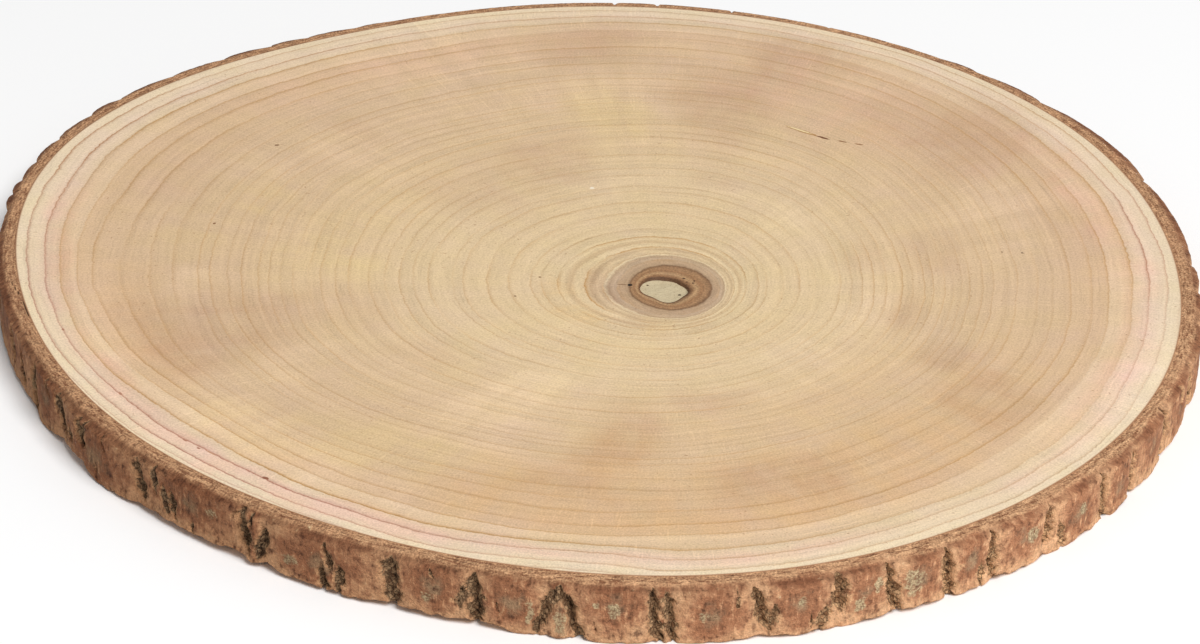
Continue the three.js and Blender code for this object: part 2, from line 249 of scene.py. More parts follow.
# Bark fissures on the facing side, each as azimuth in degrees, upper end and lower end below the
# upper face, lean, width and depth in mm, place of its crevice across it in half widths
FACING_FISSURES = (
    (198.6, 2.2, 11.0, 3.0, 5.5, 1.8, 0.0),
    (202.2, 5.0, 13.5, 2.0, 4.5, 1.6, 0.3),
    (206.0, 2.8, 15.0, 2.4, 6.5, 1.9, -0.4),
    (212.9, 2.2, 12.5, 5.0, 4.6, 1.8, 0.2),
    (217.0, 1.9, 9.5, 1.8, 5.2, 2.2, 0.0),
    (225.9, 2.4, 13.0, 3.2, 4.2, 1.9, 0.3),
    (230.3, 5.5, 13.0, 1.4, 3.2, 1.2, 0.0),
    (238.6, 1.8, 13.5, 2.9, 4.6, 2.8, 0.1),
    (240.4, 5.0, 15.5, -2.2, 3.4, 1.8, 0.0),
    (247.0, 2.2, 9.0, 1.6, 3.2, 1.5, 0.2),
    (246.6, 9.0, 17.0, 0.6, 3.2, 2.0, 0.0),
    (248.1, 8.5, 17.0, -0.3, 3.6, 2.0, 0.5),
    (252.9, 1.7, 17.0, 1.3, 5.6, 2.4, 0.25),
    (260.3, 1.9, 17.0, 1.1, 4.4, 2.3, 0.1),
    (259.1, 6.0, 12.0, -0.5, 3.6, 1.3, -0.2),
    (266.3, 1.8, 15.5, -5.0, 3.4, 2.2, 0.2),
    (268.3, 1.8, 17.0, 5.9, 3.6, 2.7, 0.0),
    (275.1, 2.0, 17.0, 1.9, 3.8, 2.3, 0.2),
    (276.3, 2.4, 17.0, 2.2, 3.6, 2.0, 0.0),
    (283.7, 2.0, 14.0, 3.3, 4.6, 2.3, 0.1),
    (284.7, 7.5, 15.5, -1.3, 3.4, 1.7, 0.2),
    (290.4, 2.0, 12.0, 0.7, 5.2, 2.4, 0.5),
    (289.0, 9.5, 17.0, -1.9, 3.6, 1.6, -0.2),
    (295.4, 1.7, 17.0, 3.1, 4.0, 2.4, 0.1),
    (300.9, 1.7, 17.0, 2.8, 5.0, 2.6, 0.4),
    (304.3, 9.0, 17.0, 0.4, 3.0, 1.2, 0.0),
    (305.7, 1.7, 15.5, 0.6, 4.2, 2.3, 0.1),
    (312.4, 1.9, 13.0, -0.9, 4.4, 2.2, 0.2),
    (314.2, 8.5, 17.0, 1.5, 3.2, 1.6, 0.0),
    (320.6, 1.7, 17.0, 3.9, 4.0, 2.3, 0.2),
    (325.7, 3.5, 17.0, -0.4, 4.8, 2.2, 0.3),
    (333.5, 1.7, 11.5, 1.8, 5.6, 2.5, 0.0),
    (332.9, 10.5, 17.0, 1.2, 4.6, 1.8, 0.3),
    (338.6, 1.8, 9.0, 2.0, 4.4, 1.8, 0.1),
    (343.0, 2.6, 15.0, 2.4, 4.8, 2.0, 0.2),
)
# Shallow pits in the plates, darkened with painted shade, each as azimuth, upper end, lower end,
# lean, width
PITS = (
    (209.7, 0.9, 4.0, 3.0, 3.2), (214.9, 7.5, 12.0, 1.0, 3.4), (227.9, 1.0, 8.0, 1.0, 3.2),
    (219.9, 12.0, 14.5, 0.5, 2.0), (239.4, 1.2, 3.8, 0.4, 1.3), (256.4, 1.8, 4.6, 0.3, 1.0),
    (262.3, 9.0, 11.6, 0.2, 0.9), (281.7, 1.6, 6.5, 0.6, 1.6), (288.0, 11.0, 15.0, -0.4, 1.4),
    (232.6, 12.5, 15.0, 0.2, 1.8), (270.2, 11.5, 13.0, 0.1, 0.9), (220.9, 1.6, 4.4, 0.6, 1.2),
    (229.4, 5.5, 13.0, 1.5, 3.6), (217.6, 0.8, 6.0, -1.5, 3.2), (212.0, 2.5, 7.5, 3.0, 3.2),
)
# Patches of lichen on the plates, each as azimuth, upper end, lower end, width
LICHEN_PATCHES = (
    (234.9, 4.3, 8.8, 4.4), (253.0, 2.0, 15.0, 4.0), (264.9, 6.0, 15.0, 2.4),
    (267.4, 6.6, 17.0, 4.0), (270.3, 4.0, 6.5, 2.4), (271.8, 4.3, 9.5, 3.2),
    (279.1, 6.7, 10.5, 3.4), (294.0, 3.0, 8.0, 3.0), (297.2, 1.9, 12.9, 7.2),
    (310.3, 3.5, 10.0, 5.6), (316.9, 5.1, 9.5, 4.4), (205.8, 3.2, 14.0, 6.0),
    (256.2, 9.0, 12.5, 5.0), (243.4, 8.5, 12.5, 5.0), (287.2, 4.5, 8.0, 3.0),
    (292.3, 8.0, 14.0, 4.4),
)
# How far the bark has worn away from the lower face, in mm, by azimuth
WORN_AZIMUTHS = (
    0, 60, 66, 120, 127, 180, 205, 207, 209.5, 212, 215, 217.5, 218.2, 219.5, 223, 226, 228,
    229, 230.2, 231.6, 233, 235, 237.6, 239.3, 241, 243.2, 246, 250, 253, 256, 260.6, 263, 266,
    268, 270, 281, 283.5, 286, 288, 290.5, 294, 298, 301, 307, 313, 322, 326, 330, 334, 340,
)
WORN_HEIGHTS = (
    0.5, 0.2, 1.4, 0.1, 1.6, 0.4, 1.0, 0.1, 0.2, 1.5, 2.8, 3.0, 0.7, 0.1, 0.3, 1.6, 2.0,
    1.5, 2.3, 1.5, 1.3, 2.0, 2.4, 1.2, 2.2, 0.6, 1.1, 0.8, 1.9, 1.2, 1.6, 0.4, 0.0,
    0.4, 0.0, 0.1, 1.0, 0.1, 0.7, 0.0, 0.9, 1.2, 0.3, 0.8, 0.1, 0.0, 1.0, 0.3, 1.2, 0.4,
)
# Fissures of the far side, which are drawn at random: a long one nearly reaches both faces
FAR_SIDE_START = 351
FAR_SIDE_END = 551
FAR_SIDE_SEED = 29
FAR_SIDE_STEP = (2.6, 7.6)
FAR_SIDE_LONG = 0.7
LONG_UPPER_END = (1.7, 2.6)
LONG_LOWER_END = (13, 17)
SHORT_UPPER_END = (3, 8)
SHORT_LENGTH = (5, 8)
FAR_SIDE_LEAN = (-2.5, 3.5)
FAR_SIDE_WIDTH = (3.4, 5.4)
FAR_SIDE_DEPTH = (1.5, 2.7)
FAR_SIDE_CREVICE = (-0.4, 0.5)

# Plates and fissures, in mm where nothing else is said
PLATE_SEED = 7
PLATE_BORDER_LENGTH = 9
PLATE_SWELL = (0.7, 1.7)
PLATE_MIDDLE = (5.5, 11)
PLATE_REACH_UP = 15
PLATE_REACH_DOWN = 9
LEAST_SLOPE = 0.8  # how far out the slope reaches at least
FISSURE_REACH = 5  # degrees to each side within which a fissure cuts
FISSURE_END_FADE = 1.6
CREVICE_DEPTH = 0.7
CREVICE_HALF_WIDTH = 0.75
WIDER_GAPE = 0.5  # what the left and far sides add to that half width
FOOT_SHALLOWING = 0.4  # share of its depth that a fissure loses at the lower face
PIT_DEPTH = 0.7
# Widths of the lines of painted shade in the crack and along the slope, and how dark the latter are
CRACK_HALF_WIDTH = 0.35
EAVE_HALF_WIDTH = 0.5
EAVE_DARKNESS = 0.68
CHIP_HEIGHT = 1.3
CHIP_REACH = 0.6

# Unevenness of the bark and the pith, each layer as its strength, the size of its lumps in mm and
# its seed
BEND = ((1.1, 3.6, 4.4), (0.6, 1.2, 7.5), (0.3, 0.55, 1.8))
DEPTH_BEND = ((0.9, 2.6, 33.1),)
RAGGEDNESS = ((0.6, 2.2, 12.6),)
ROUGHNESS = ((1, 1.0, 15.2),)
SPREAD = ((0.5, 2.4, 27.5), (0.35, 0.9, 19.4))
BARK_LUMPS = ((0.2, 5.5, 21.3), (0.14, 1.9, 3.1))
FIBRES = ((0.06, 0.9, 6.8),)
FINE_CRUMBS = ((0.3, 0.6, 40.2),)
RIM_LUMPS = ((0.25, 1.6, 5.1),)
EAVE_PATCHES = ((0.5, 4.5, 37.2),)
SAWN_GRIT = ((0.05, 0.7, 2.2), (0.05, 1.9, 8.2))
CHIPS = ((1, 4.2, 3.9),)
SANDING_PATCHES = ((0.45, 21, 6.3),)
PITH_LUMPS = ((0.16, 2.6, 1.3), (0.07, 0.9, 5.9))
FLAT = (1, 1, 0)  # what a place is multiplied by, to look at its lumps from above only

# Surface of the wood
SANDING_ANGLE = math.radians(40)
MARK_REACH = 4  # how far from its height a small mark still shows, in mm

# Meshes: how far out their rows of points lie, and how many columns they have
WOOD_INNER_STEPS = (0.04, 0.05, 0.06, 0.075, 0.09, 0.105, 0.12, 0.14)
WOOD_OUTER_STEPS = 57
WOOD_COLUMNS = 360
PITH_STEPS = (0, 0.15, 0.3, 0.45, 0.6, 0.72, 0.83, 0.92, 0.98, 1.04)
PITH_COLUMNS = 96
BARK_SPIN_STEPS = 216
BARK_CUTS = 9
BARK_COLUMNS = BARK_SPIN_STEPS * (BARK_CUTS + 1)
SAWN_STEPS = (0.08, 0.3, 0.5, 0.7, 0.88)
SLOPE_STEPS = (0.12, 0.3, 0.5, 0.7, 0.88)
WALL_STEPS = 28
# How large the faces of the wood lie on their flat map, and where
UPPER_MAP_RADIUS = 0.4
UPPER_MAP_MIDDLE = 0.405
LOWER_MAP_RADIUS = 0.18
LOWER_MAP_MIDDLE = 0.815

# Stage, in metres apart from what the camera looks at, which is in mm
FLOOR_HALF_WIDTH = 12
KEY_PLACE = (1.28, -1.98, 3.24)
KEY_SIZE = 2.2
KEY_POWER = 142
WORLD_STRENGTH = 0.35
CAMERA_LENS = 117.97
CAMERA_ELEVATION = math.radians(29.114)
CAMERA_ROLL = math.radians(2.248)
CAMERA_TARGET = (1.48, -42.11, 17.0)
CAMERA_DISTANCE = 1.1375


def seeded_draws(seed):
    """Numbers between 0 and 1 that come out the same each time."""
    state = seed
    while True:
        state = (state * 1664525 + 1013904223) % 4294967296
        yield state / 4294967296


def between(limits, share):
    return limits[0] + (limits[1] - limits[0]) * share


def waves(table, angle):
    """The sum of a table's waves at an angle."""
    return sum(
        cosine * np.cos(count * angle) + sine * np.sin(count * angle)
        for count, cosine, sine in table
    )


def smooth(low, high, value):
    """Rises gently from 0 at the first number to 1 at the second, which may be the lower one."""
    share = np.clip((value - low) / (high - low), 0, 1)
    return share * share * (3 - 2 * share)


def far_side_fissures():
    """Fissures like those of the facing side, for the bark that lies behind the slice."""
    draw = seeded_draws(FAR_SIDE_SEED)
    finish = random.Random(FAR_SIDE_SEED)
    fissures = []
    azimuth = FAR_SIDE_START
    while azimuth < FAR_SIDE_END:
        runs_long = next(draw) < FAR_SIDE_LONG
        if runs_long:
            upper = between(LONG_UPPER_END, next(draw))
            lower = between(LONG_LOWER_END, next(draw))
        else:
            upper = between(SHORT_UPPER_END, next(draw))
            lower = upper + between(SHORT_LENGTH, next(draw))
        lean = between(FAR_SIDE_LEAN, next(draw))
        width = between(FAR_SIDE_WIDTH, next(draw))
        depth = between(FAR_SIDE_DEPTH, next(draw))
        crevice = finish.uniform(*FAR_SIDE_CREVICE)
        fissures.append((azimuth % 360, upper, lower, lean, width, depth, crevice))
        azimuth += between(FAR_SIDE_STEP, next(draw))
    return tuple(fissures)


FISSURES = FACING_FISSURES + far_side_fissures()


def linear(colour):
    """An sRGB colour of 0 to 255 as the linear colour that a shader takes."""
    shares = [channel / 255 for channel in colour]
    return tuple(s / 12.92 if s <= 0.04045 else ((s + 0.055) / 1.055) ** 2.4 for s in shares)


def noise_field(points, size, seed):
    """Smooth noise between -1 and 1 at each point, with lumps of about the given size."""
    scaled = points / size + seed
    return np.array([noise.noise(Vector(point)) for point in scaled])


def unevenness(points, layers):
    return sum(strength * noise_field(points, size, seed) for strength, size, seed in layers)


# Settings


def length_setting(name, description, default):
    return bpy.props.FloatProperty(
        name=name, description=description, default=default, min=0, unit="LENGTH"
    )


def colour_setting(name, description, default):
    return bpy.props.FloatVectorProperty(
        name=name,
        description=description,
        default=linear(default),
        size=3,
        min=0,
        max=1,
        subtype="COLOR",
    )


class SliceSizes(bpy.types.PropertyGroup):
    thickness: length_setting("Thickness", "Height of the slice", FRAME_THICKNESS)
    wood_radius: length_setting("Wood radius", "From the trunk's centre to its bark", 0.175)
    bark_thickness: length_setting("Bark", "Thickness of the bark between its plates", 0.005)
    bark_flat: length_setting("Sawn bark", "Bark that stays level with the wood", 0.0028)
    chamfer_depth: length_setting("Slope", "Depth of the sanded slope round the rim", 0.0016)


class SliceColours(bpy.types.PropertyGroup):
    ring_line: colour_setting("Ring line", "Latewood line of the inner rings", (182, 137, 82))
    rim_line: colour_setting("Rim line", "Latewood line of the rings near the bark", (174, 116, 98))
    pith: colour_setting("Pith", "The soft fill in the middle", (212, 197, 163))
    bark_edge: colour_setting("Bark edge", "Fresh bark beside the fissures", (218, 169, 127))
    # Colour of the painted shade in crevices, pits, cracks and the gaps between crumbs
    crevice: colour_setting("Crevice", "The bottom of a fissure", (62, 42, 27))


# Node trees


class Shading:
    """Adds nodes to a node tree. Each input is given as a value or as the socket that feeds it."""

    def __init__(self, tree):
        self.tree = tree

    def add(self, kind, inputs=None, **settings):
        node = self.tree.nodes.new("ShaderNode" + kind)
        count = len(self.tree.nodes)
        node.location = (220 * (count % 12), -260 * (count // 12))
        for name, value in settings.items():
            setattr(node, name, value)
        for socket, value in (inputs or {}).items():
            self.feed(node.inputs[socket], value)
        return node

    def feed(self, socket, value):
        if isinstance(value, bpy.types.NodeSocket):
            self.tree.links.new(value, socket)
        elif socket.type == "RGBA" and len(value) == 3:
            socket.default_value = (*value, 1)
        else:
            socket.default_value = value

    def math(self, operation, *values, clamp=False):
        inputs = dict(enumerate(values))
        return self.add("Math", inputs, operation=operation, use_clamp=clamp).outputs[0]

    def vector(self, operation, *values):
        node = self.add("VectorMath", dict(enumerate(values)), operation=operation)
        return node.outputs["Value" if operation in ("LENGTH", "DISTANCE") else "Vector"]

    def scaled(self, vector, factors):
        return self.vector("MULTIPLY", vector, factors)

    def mix(self, factor, first, second, blend="MIX"):
        inputs = {0: factor, 6: first, 7: second}
        return self.add("Mix", inputs, data_type="RGBA", blend_type=blend).outputs[2]

    def range(self, value, low, high, start=0.0, end=1.0):
        inputs = {"Value": value, "From Min": low, "From Max": high, "To Min": start, "To Max": end}
        node = self.add("MapRange", inputs, interpolation_type="SMOOTHSTEP")
        return node.outputs["Result"]

    def noise(self, vector, scale, detail=2.0, roughness=0.5):
        inputs = {"Vector": vector, "Scale": scale, "Detail": detail, "Roughness": roughness}
        return self.add("TexNoise", inputs).outputs["Fac"]

    def cloud(self, vector, scale, detail=3.0):
        inputs = {"Vector": vector, "Scale": scale, "Detail": detail}
        return self.group(mottle_group(), inputs)["Value"]

    def attribute(self, name, output="Fac"):
        return self.add("Attribute", attribute_name=name).outputs[output]

    def brighten(self, colour, shade):
        bright = self.add("CombineColor", {0: shade, 1: shade, 2: shade}).outputs[0]
        return self.mix(1.0, colour, bright, "MULTIPLY")

    def turned(self, vector, angle):
        inputs = {"Vector": vector, "Angle": angle}
        return self.add("VectorRotate", inputs, rotation_type="Z_AXIS").outputs[0]

    def ramp(self, factor, stops):
        node = self.add("ValToRGB", {"Fac": factor})
        elements = node.color_ramp.elements
        for index, (place, colour) in enumerate(stops):
            element = elements[index] if index < 2 else elements.new(place)
            element.position = place
            element.color = (*linear(colour), 1)
        return node.outputs["Color"]

    def curve(self, value, points):
        node = self.add("FloatCurve", {"Value": value})
        curve = node.mapping.curves[0]
        for index, (x, y) in enumerate(points):
            point = curve.points[index] if index < 2 else curve.points.new(x, y)
            point.location = (x, y)
            point.handle_type = "VECTOR"
        node.mapping.update()
        return node.outputs["Value"]

    def group(self, tree, inputs):
        node = self.add("Group", node_tree=tree)
        for name, value in inputs.items():
            self.feed(node.inputs[name], value)
        return node.outputs


def new_group(name, inputs, outputs):
    """An empty node group with named sockets, and the nodes that carry them."""
    tree = bpy.data.node_groups.new(name, "ShaderNodeTree")
    for socket, kind, default in inputs:
        made = tree.interface.new_socket(socket, in_out="INPUT", socket_type="NodeSocket" + kind)
        if default is not None:
            made.default_value = default
    for socket, kind in outputs:
        tree.interface.new_socket(socket, in_out="OUTPUT", socket_type="NodeSocket" + kind)
    shading = Shading(tree)
    source = tree.nodes.new("NodeGroupInput")
    target = tree.nodes.new("NodeGroupOutput")
    return shading, source.outputs, target.inputs


def mottle_group():
    """Cloudy variation, from -1 to 1, of one size."""
    if "Mottle" in bpy.data.node_groups:
        return bpy.data.node_groups["Mottle"]
    inputs = (("Vector", "Vector", None), ("Scale", "Float", 100.0), ("Detail", "Float", 3.0))
    shading, source, target = new_group("Mottle", inputs, (("Value", "Float"),))
    cloud = shading.noise(source["Vector"], source["Scale"], source["Detail"], 0.55)
    shading.feed(target["Value"], shading.math("MULTIPLY_ADD", cloud, 2.0, -1.0))
    return shading.tree


def speck_group():
    """Scattered specks of one size: 1 on a speck and 0 between them."""
    if "Specks" in bpy.data.node_groups:
        return bpy.data.node_groups["Specks"]
    inputs = (
        ("Vector", "Vector", None),
        ("Scale", "Float", 1000.0),
        ("Threshold", "Float", 0.68),
        ("Softness", "Float", 0.06),
    )
    shading, source, target = new_group("Specks", inputs, (("Mask", "Float"),))
    grain = shading.noise(source["Vector"], source["Scale"], 1.0)
    above = shading.math("ADD", source["Threshold"], source["Softness"])
    shading.feed(target["Mask"], shading.range(grain, source["Threshold"], above))
    return shading.tree


def crumb_group():
    """Crumbling bark: the tone of each crumb, and the gaps between the crumbs, which take painted
    shade.
    """
    if "Crumbs" in bpy.data.node_groups:
        return bpy.data.node_groups["Crumbs"]
    inputs = (("Vector", "Vector", None), ("Scale", "Float", 900.0))
    outputs = (("Tone", "Float"), ("Gap", "Float"))
    shading, source, target = new_group("Crumbs", inputs, outputs)
    wobble = shading.add("TexNoise", {"Vector": source["Vector"], "Scale": source["Scale"]})
    wobble = shading.scaled(wobble.outputs["Color"], (0.0006, 0.0006, 0.0006))
    bent = {"Vector": shading.vector("ADD", source["Vector"], wobble), "Scale": source["Scale"]}
    cells = shading.add("TexVoronoi", bent).outputs["Color"]
    edges = shading.add("TexVoronoi", bent, feature="DISTANCE_TO_EDGE").outputs["Distance"]
    shading.feed(target["Tone"], cells)
    shading.feed(target["Gap"], shading.range(edges, 0.16, 0.02))
    return shading.tree


def mark_group():
    """One small mark with an uneven edge: 1 inside it and 0 round it."""
    if "Small mark" in bpy.data.node_groups:
        return bpy.data.node_groups["Small mark"]
    inputs = (
        ("Vector", "Vector", None),
        ("Middle", "Vector", None),
        ("Turn", "Float", 0.0),
        ("Size", "Vector", None),
    )
    shading, source, target = new_group("Small mark", inputs, (("Mask", "Float"),))
    apart = shading.vector("SUBTRACT", source["Vector"], source["Middle"])
    turned = shading.turned(apart, source["Turn"])
    reach = shading.vector("LENGTH", shading.vector("DIVIDE", turned, source["Size"]))
    uneven = shading.noise(source["Vector"], 1400.0, 2.0)
    reach = shading.math("MULTIPLY_ADD", uneven, 0.8, reach)
    shading.feed(target["Mask"], shading.range(reach, 1.45, 1.05))
    return shading.tree


def add_marks(shading, place, colour, marks, height):
    """Lays small marks over a colour at a height in mm."""
    for x, y, length, width, turn, shade in marks:
        middle = Vector((x + TRUNK_CENTRE[0], y + TRUNK_CENTRE[1], height)) * MILLIMETRE
        inputs = {
            "Vector": place,
            "Middle": middle,
            "Turn": -math.radians(turn),
            "Size": Vector((length, width, MARK_REACH)) * MILLIMETRE,
        }
        mask = shading.group(mark_group(), inputs)["Mask"]
        colour = shading.mix(mask, colour, linear(shade))
    return colour


def new_material(name):
    """A material with nothing in it but its shader, and the shader itself."""
    material = bpy.data.materials.new(name)
    material.use_nodes = True
    material.node_tree.nodes.clear()
    shading = Shading(material.node_tree)
    shader = shading.add("BsdfPrincipled")
    shading.add("OutputMaterial", {"Surface": shader.outputs["BSDF"]})
    return material, shading, shader


def finish_surface(shading, shader, colour, height, strength, distance):
    """Feeds a shader its colour and a bump, which is as deep as a distance in metres."""
    bump = shading.add("Bump", {"Height": height, "Strength": strength, "Distance": distance})
    shading.feed(shader.inputs["Base Color"], colour)
    shading.feed(shader.inputs["Normal"], bump.outputs["Normal"])


def ring_lines(shading, place, grown):
    """Where a point lies among the rings, the darker line that ends each year's growth, and how
    bright each year is."""
    cloud = shading.cloud
    growth = shading.vector("LENGTH", grown)
    direction = shading.vector("NORMALIZE", grown)

    # The rings waver a little, and drift near the bark
    wander = shading.math("MULTIPLY", cloud(grown, 4.5, 3.0), 0.011)
    quiver = shading.math("MULTIPLY", cloud(place, 520.0, 3.0), 0.003)
    ring_place = shading.math("ADD", growth, shading.math("ADD", wander, quiver))
    ring_place = shading.math("SUBTRACT", ring_place, shading.attribute("drift"))

    # The number of the year, and the line at its end
    count = len(RINGS) + 1
    numbering = [(0, 0)] + [(u, (n + 1) / count) for n, (u, _) in enumerate(RINGS)] + [(1, 1)]
    strengths = [(0, 0.3)] + [(u, strength) for u, strength in RINGS] + [(1, 0.5)]
    number = shading.math("MULTIPLY", shading.curve(ring_place, numbering), float(count))
    late = ((0, 0.75), (0.03, 0.3), (0.08, 0.0), (0.5, 0.0), (0.82, 0.1), (0.94, 0.5), (1, 1))
    line = shading.curve(shading.math("FRACT", number), late)
    line = shading.math("MULTIPLY", line, shading.curve(ring_place, strengths))
    line = shading.math("MULTIPLY", line, shading.attribute("line_strength"))

    # The lines fade and come back on their way round, and so does each year's own brightness
    along = shading.add("CombineXYZ", {"Z": shading.math("MULTIPLY", growth, 30.0)}).outputs[0]
    fade_place = shading.vector("ADD", shading.scaled(direction, (1.6, 1.6, 1.6)), along)
    least = shading.range(growth, 0.86, 0.94, 0.25, 0.75)
    fade = shading.range(cloud(fade_place, 1.0, 2.0), -0.4, 0.35, least, 1.45)
    year = {"W": shading.math("FLOOR", number)}
    year = shading.add("TexWhiteNoise", year, noise_dimensions="1D").outputs["Value"]
    year = shading.math("MULTIPLY", shading.math("SUBTRACT", year, 0.5), fade)
    return ring_place, shading.math("MULTIPLY", line, fade), year


def end_grain(shading, place, grown, ring_place):
    """The grain, the wide rays, and the brightness of the wood with its fine rings, its rays and
    the marks of its sanding."""
    cloud = shading.cloud
    growth = shading.vector("LENGTH", grown)
    direction = shading.vector("NORMALIZE", grown)

    def ring_noise(across, along, detail):
        level = shading.math("MULTIPLY", ring_place, along)
        level = shading.add("CombineXYZ", {"Z": level}).outputs[0]
        turned = shading.scaled(direction, (across, across, across))
        return cloud(shading.vector("ADD", turned, level), 1.0, detail)

    def ray_place(across, along):
        turned = shading.scaled(direction, (across, across, across))
        return shading.vector("ADD", turned, shading.scaled(grown, (along, along, along)))

    # Fine rings, finer still near the pith, with ragged dark and pale stretches
    fine = shading.math("MULTIPLY", ring_noise(2.6, 150.0, 2.0), 0.14)
    inner = shading.range(growth, 0.24, 0.09, 0.0, 0.3)
    inner = shading.math("MULTIPLY", ring_noise(2.2, 360.0, 3.0), inner)
    fine = shading.math("ADD", fine, inner)
    ragged = shading.range(ring_noise(7.0, 320.0, 2.0), 0.15, 0.6, 0.0, -0.15)
    pale = shading.range(ring_noise(4.0, 240.0, 2.0), 0.2, 0.6, 0.0, 0.1)

    # Wide rays, narrow rays and the marks of sanding
    wide_rays = shading.math("MULTIPLY", cloud(ray_place(16, 3), 1.0, 2.0), 0.06)
    rays = shading.range(shading.noise(ray_place(210, 16), 1.0, 1.0), 0.55, 0.74)
    rays = shading.math("MULTIPLY", rays, shading.range(cloud(grown, 4.0), -0.4, 0.4, 0.0, 0.13))
    rays = shading.math("MULTIPLY", rays, shading.range(growth, 0.15, 0.55))
    turned = shading.turned(place, SANDING_ANGLE)
    sanding = shading.range(cloud(shading.scaled(turned, (45, 1700, 0)), 1.0, 1.0), 0.1, 0.6)
    patch = shading.range(cloud(place, 9.0), 0.0, 0.5, 0.0, 0.07)
    sanding = shading.math("MULTIPLY", sanding, patch)

    # Grain, coarser inside the brown ring
    grain = cloud(place, 1700.0, 5.0)
    coarse = shading.range(ring_place, 0.0745, 0.077, 0.8, 0.38)
    shade = shading.math("MULTIPLY_ADD", grain, coarse, 1.0)
    for part in (fine, ragged, pale, wide_rays, rays, sanding):
        shade = shading.math("ADD", shade, part)
    return grain, wide_rays, shade


def wood_material(colours):
    material, shading, shader = new_material("sawn_wood")
    place = shading.add("TexCoord").outputs["Object"]
    grown = shading.attribute("growth", "Vector")
    cloud = shading.cloud
    ring_place, line, year = ring_lines(shading, place, grown)
    grain, wide_rays, shade = end_grain(shading, place, grown, ring_place)
    shade = shading.math("MULTIPLY_ADD", year, 0.055, shade)
    growth = shading.vector("LENGTH", grown)

    # Colour of the wood, its stains, some painted light on the far side, and its uneven cast
    colour = shading.ramp(ring_place, WOOD_COLOURS)
    uneven = shading.math("MULTIPLY_ADD", wide_rays, 18.0, 1.1)
    uneven = shading.math("MULTIPLY_ADD", cloud(place, 110.0, 4.0), 1.1, uneven)
    for name, (_, change) in STAINS.items():
        factor = shading.math("MULTIPLY", shading.attribute(name), uneven, clamp=True)
        colour = shading.mix(factor, colour, change, "MULTIPLY")
    tint = shading.math("MULTIPLY_ADD", cloud(place, 80.0, 4.0), 1.1, 0.5, clamp=True)
    colour = shading.mix(1.0, colour, shading.mix(tint, *WOOD_CASTS), "MULTIPLY")

    # Lines of the rings, pinkish near the bark
    pink = shading.range(ring_place, 0.93, 0.94)
    pink = shading.math("MULTIPLY", shading.attribute("pink_line"), pink)
    line_colour = shading.mix(pink, tuple(colours.ring_line), tuple(colours.rim_line))
    factor = shading.math("MULTIPLY", line, 0.9, clamp=True)
    colour = shading.mix(factor, colour, line_colour)
    colour = shading.brighten(colour, shade)

    # Pores, small marks and the brown edge beside the bark
    pores = shading.group(speck_group(), {"Vector": place, "Scale": 900.0, "Threshold": 0.7})
    often = shading.range(cloud(grown, 3.0), -0.3, 0.4, 0.1, 0.5)
    pores = shading.math("MULTIPLY", pores["Mask"], often)
    colour = shading.mix(pores, colour, linear(WOOD_PORE))
    colour = add_marks(shading, place, colour, WOOD_MARKS, FRAME_THICKNESS / MILLIMETRE)
    edge = shading.range(growth, 0.9965, 0.9995)
    colour = shading.mix(edge, colour, linear(WOOD_EDGE))

    # The lines lie a little lower than the wood between them, and are a little glossier
    height = shading.math("MULTIPLY_ADD", line, -0.4, shading.math("MULTIPLY", grain, 0.6))
    finish_surface(shading, shader, colour, height, 0.35, 0.0002)
    roughness = shading.math("MULTIPLY_ADD", line, -0.06, 0.62)
    shading.feed(shader.inputs["Roughness"], roughness)
    shader.inputs["Specular IOR Level"].default_value = 0.25
    return material


def pith_material(colours):
    material, shading, shader = new_material("pith")
    place = shading.add("TexCoord").outputs["Object"]
    lumps = shading.cloud(place, 420.0)
    specks = {"Vector": place, "Scale": 1900.0, "Threshold": 0.6}
    specks = shading.math("MULTIPLY", shading.group(speck_group(), specks)["Mask"], 0.35)
    factor = shading.math("MULTIPLY_ADD", lumps, 0.5, 0.5, clamp=True)
    colour = shading.mix(factor, linear(PITH_SHADE), tuple(colours.pith))
    colour = shading.mix(specks, colour, linear(PITH_SPECK))
    height = FRAME_THICKNESS / MILLIMETRE - PITH_DEPTH
    colour = add_marks(shading, place, colour, PITH_MARKS, height)
    finish_surface(shading, shader, colour, lumps, 0.6, 0.0004)
    shader.inputs["Roughness"].default_value = 0.85
    shader.inputs["Specular IOR Level"].default_value = 0.2
    return material


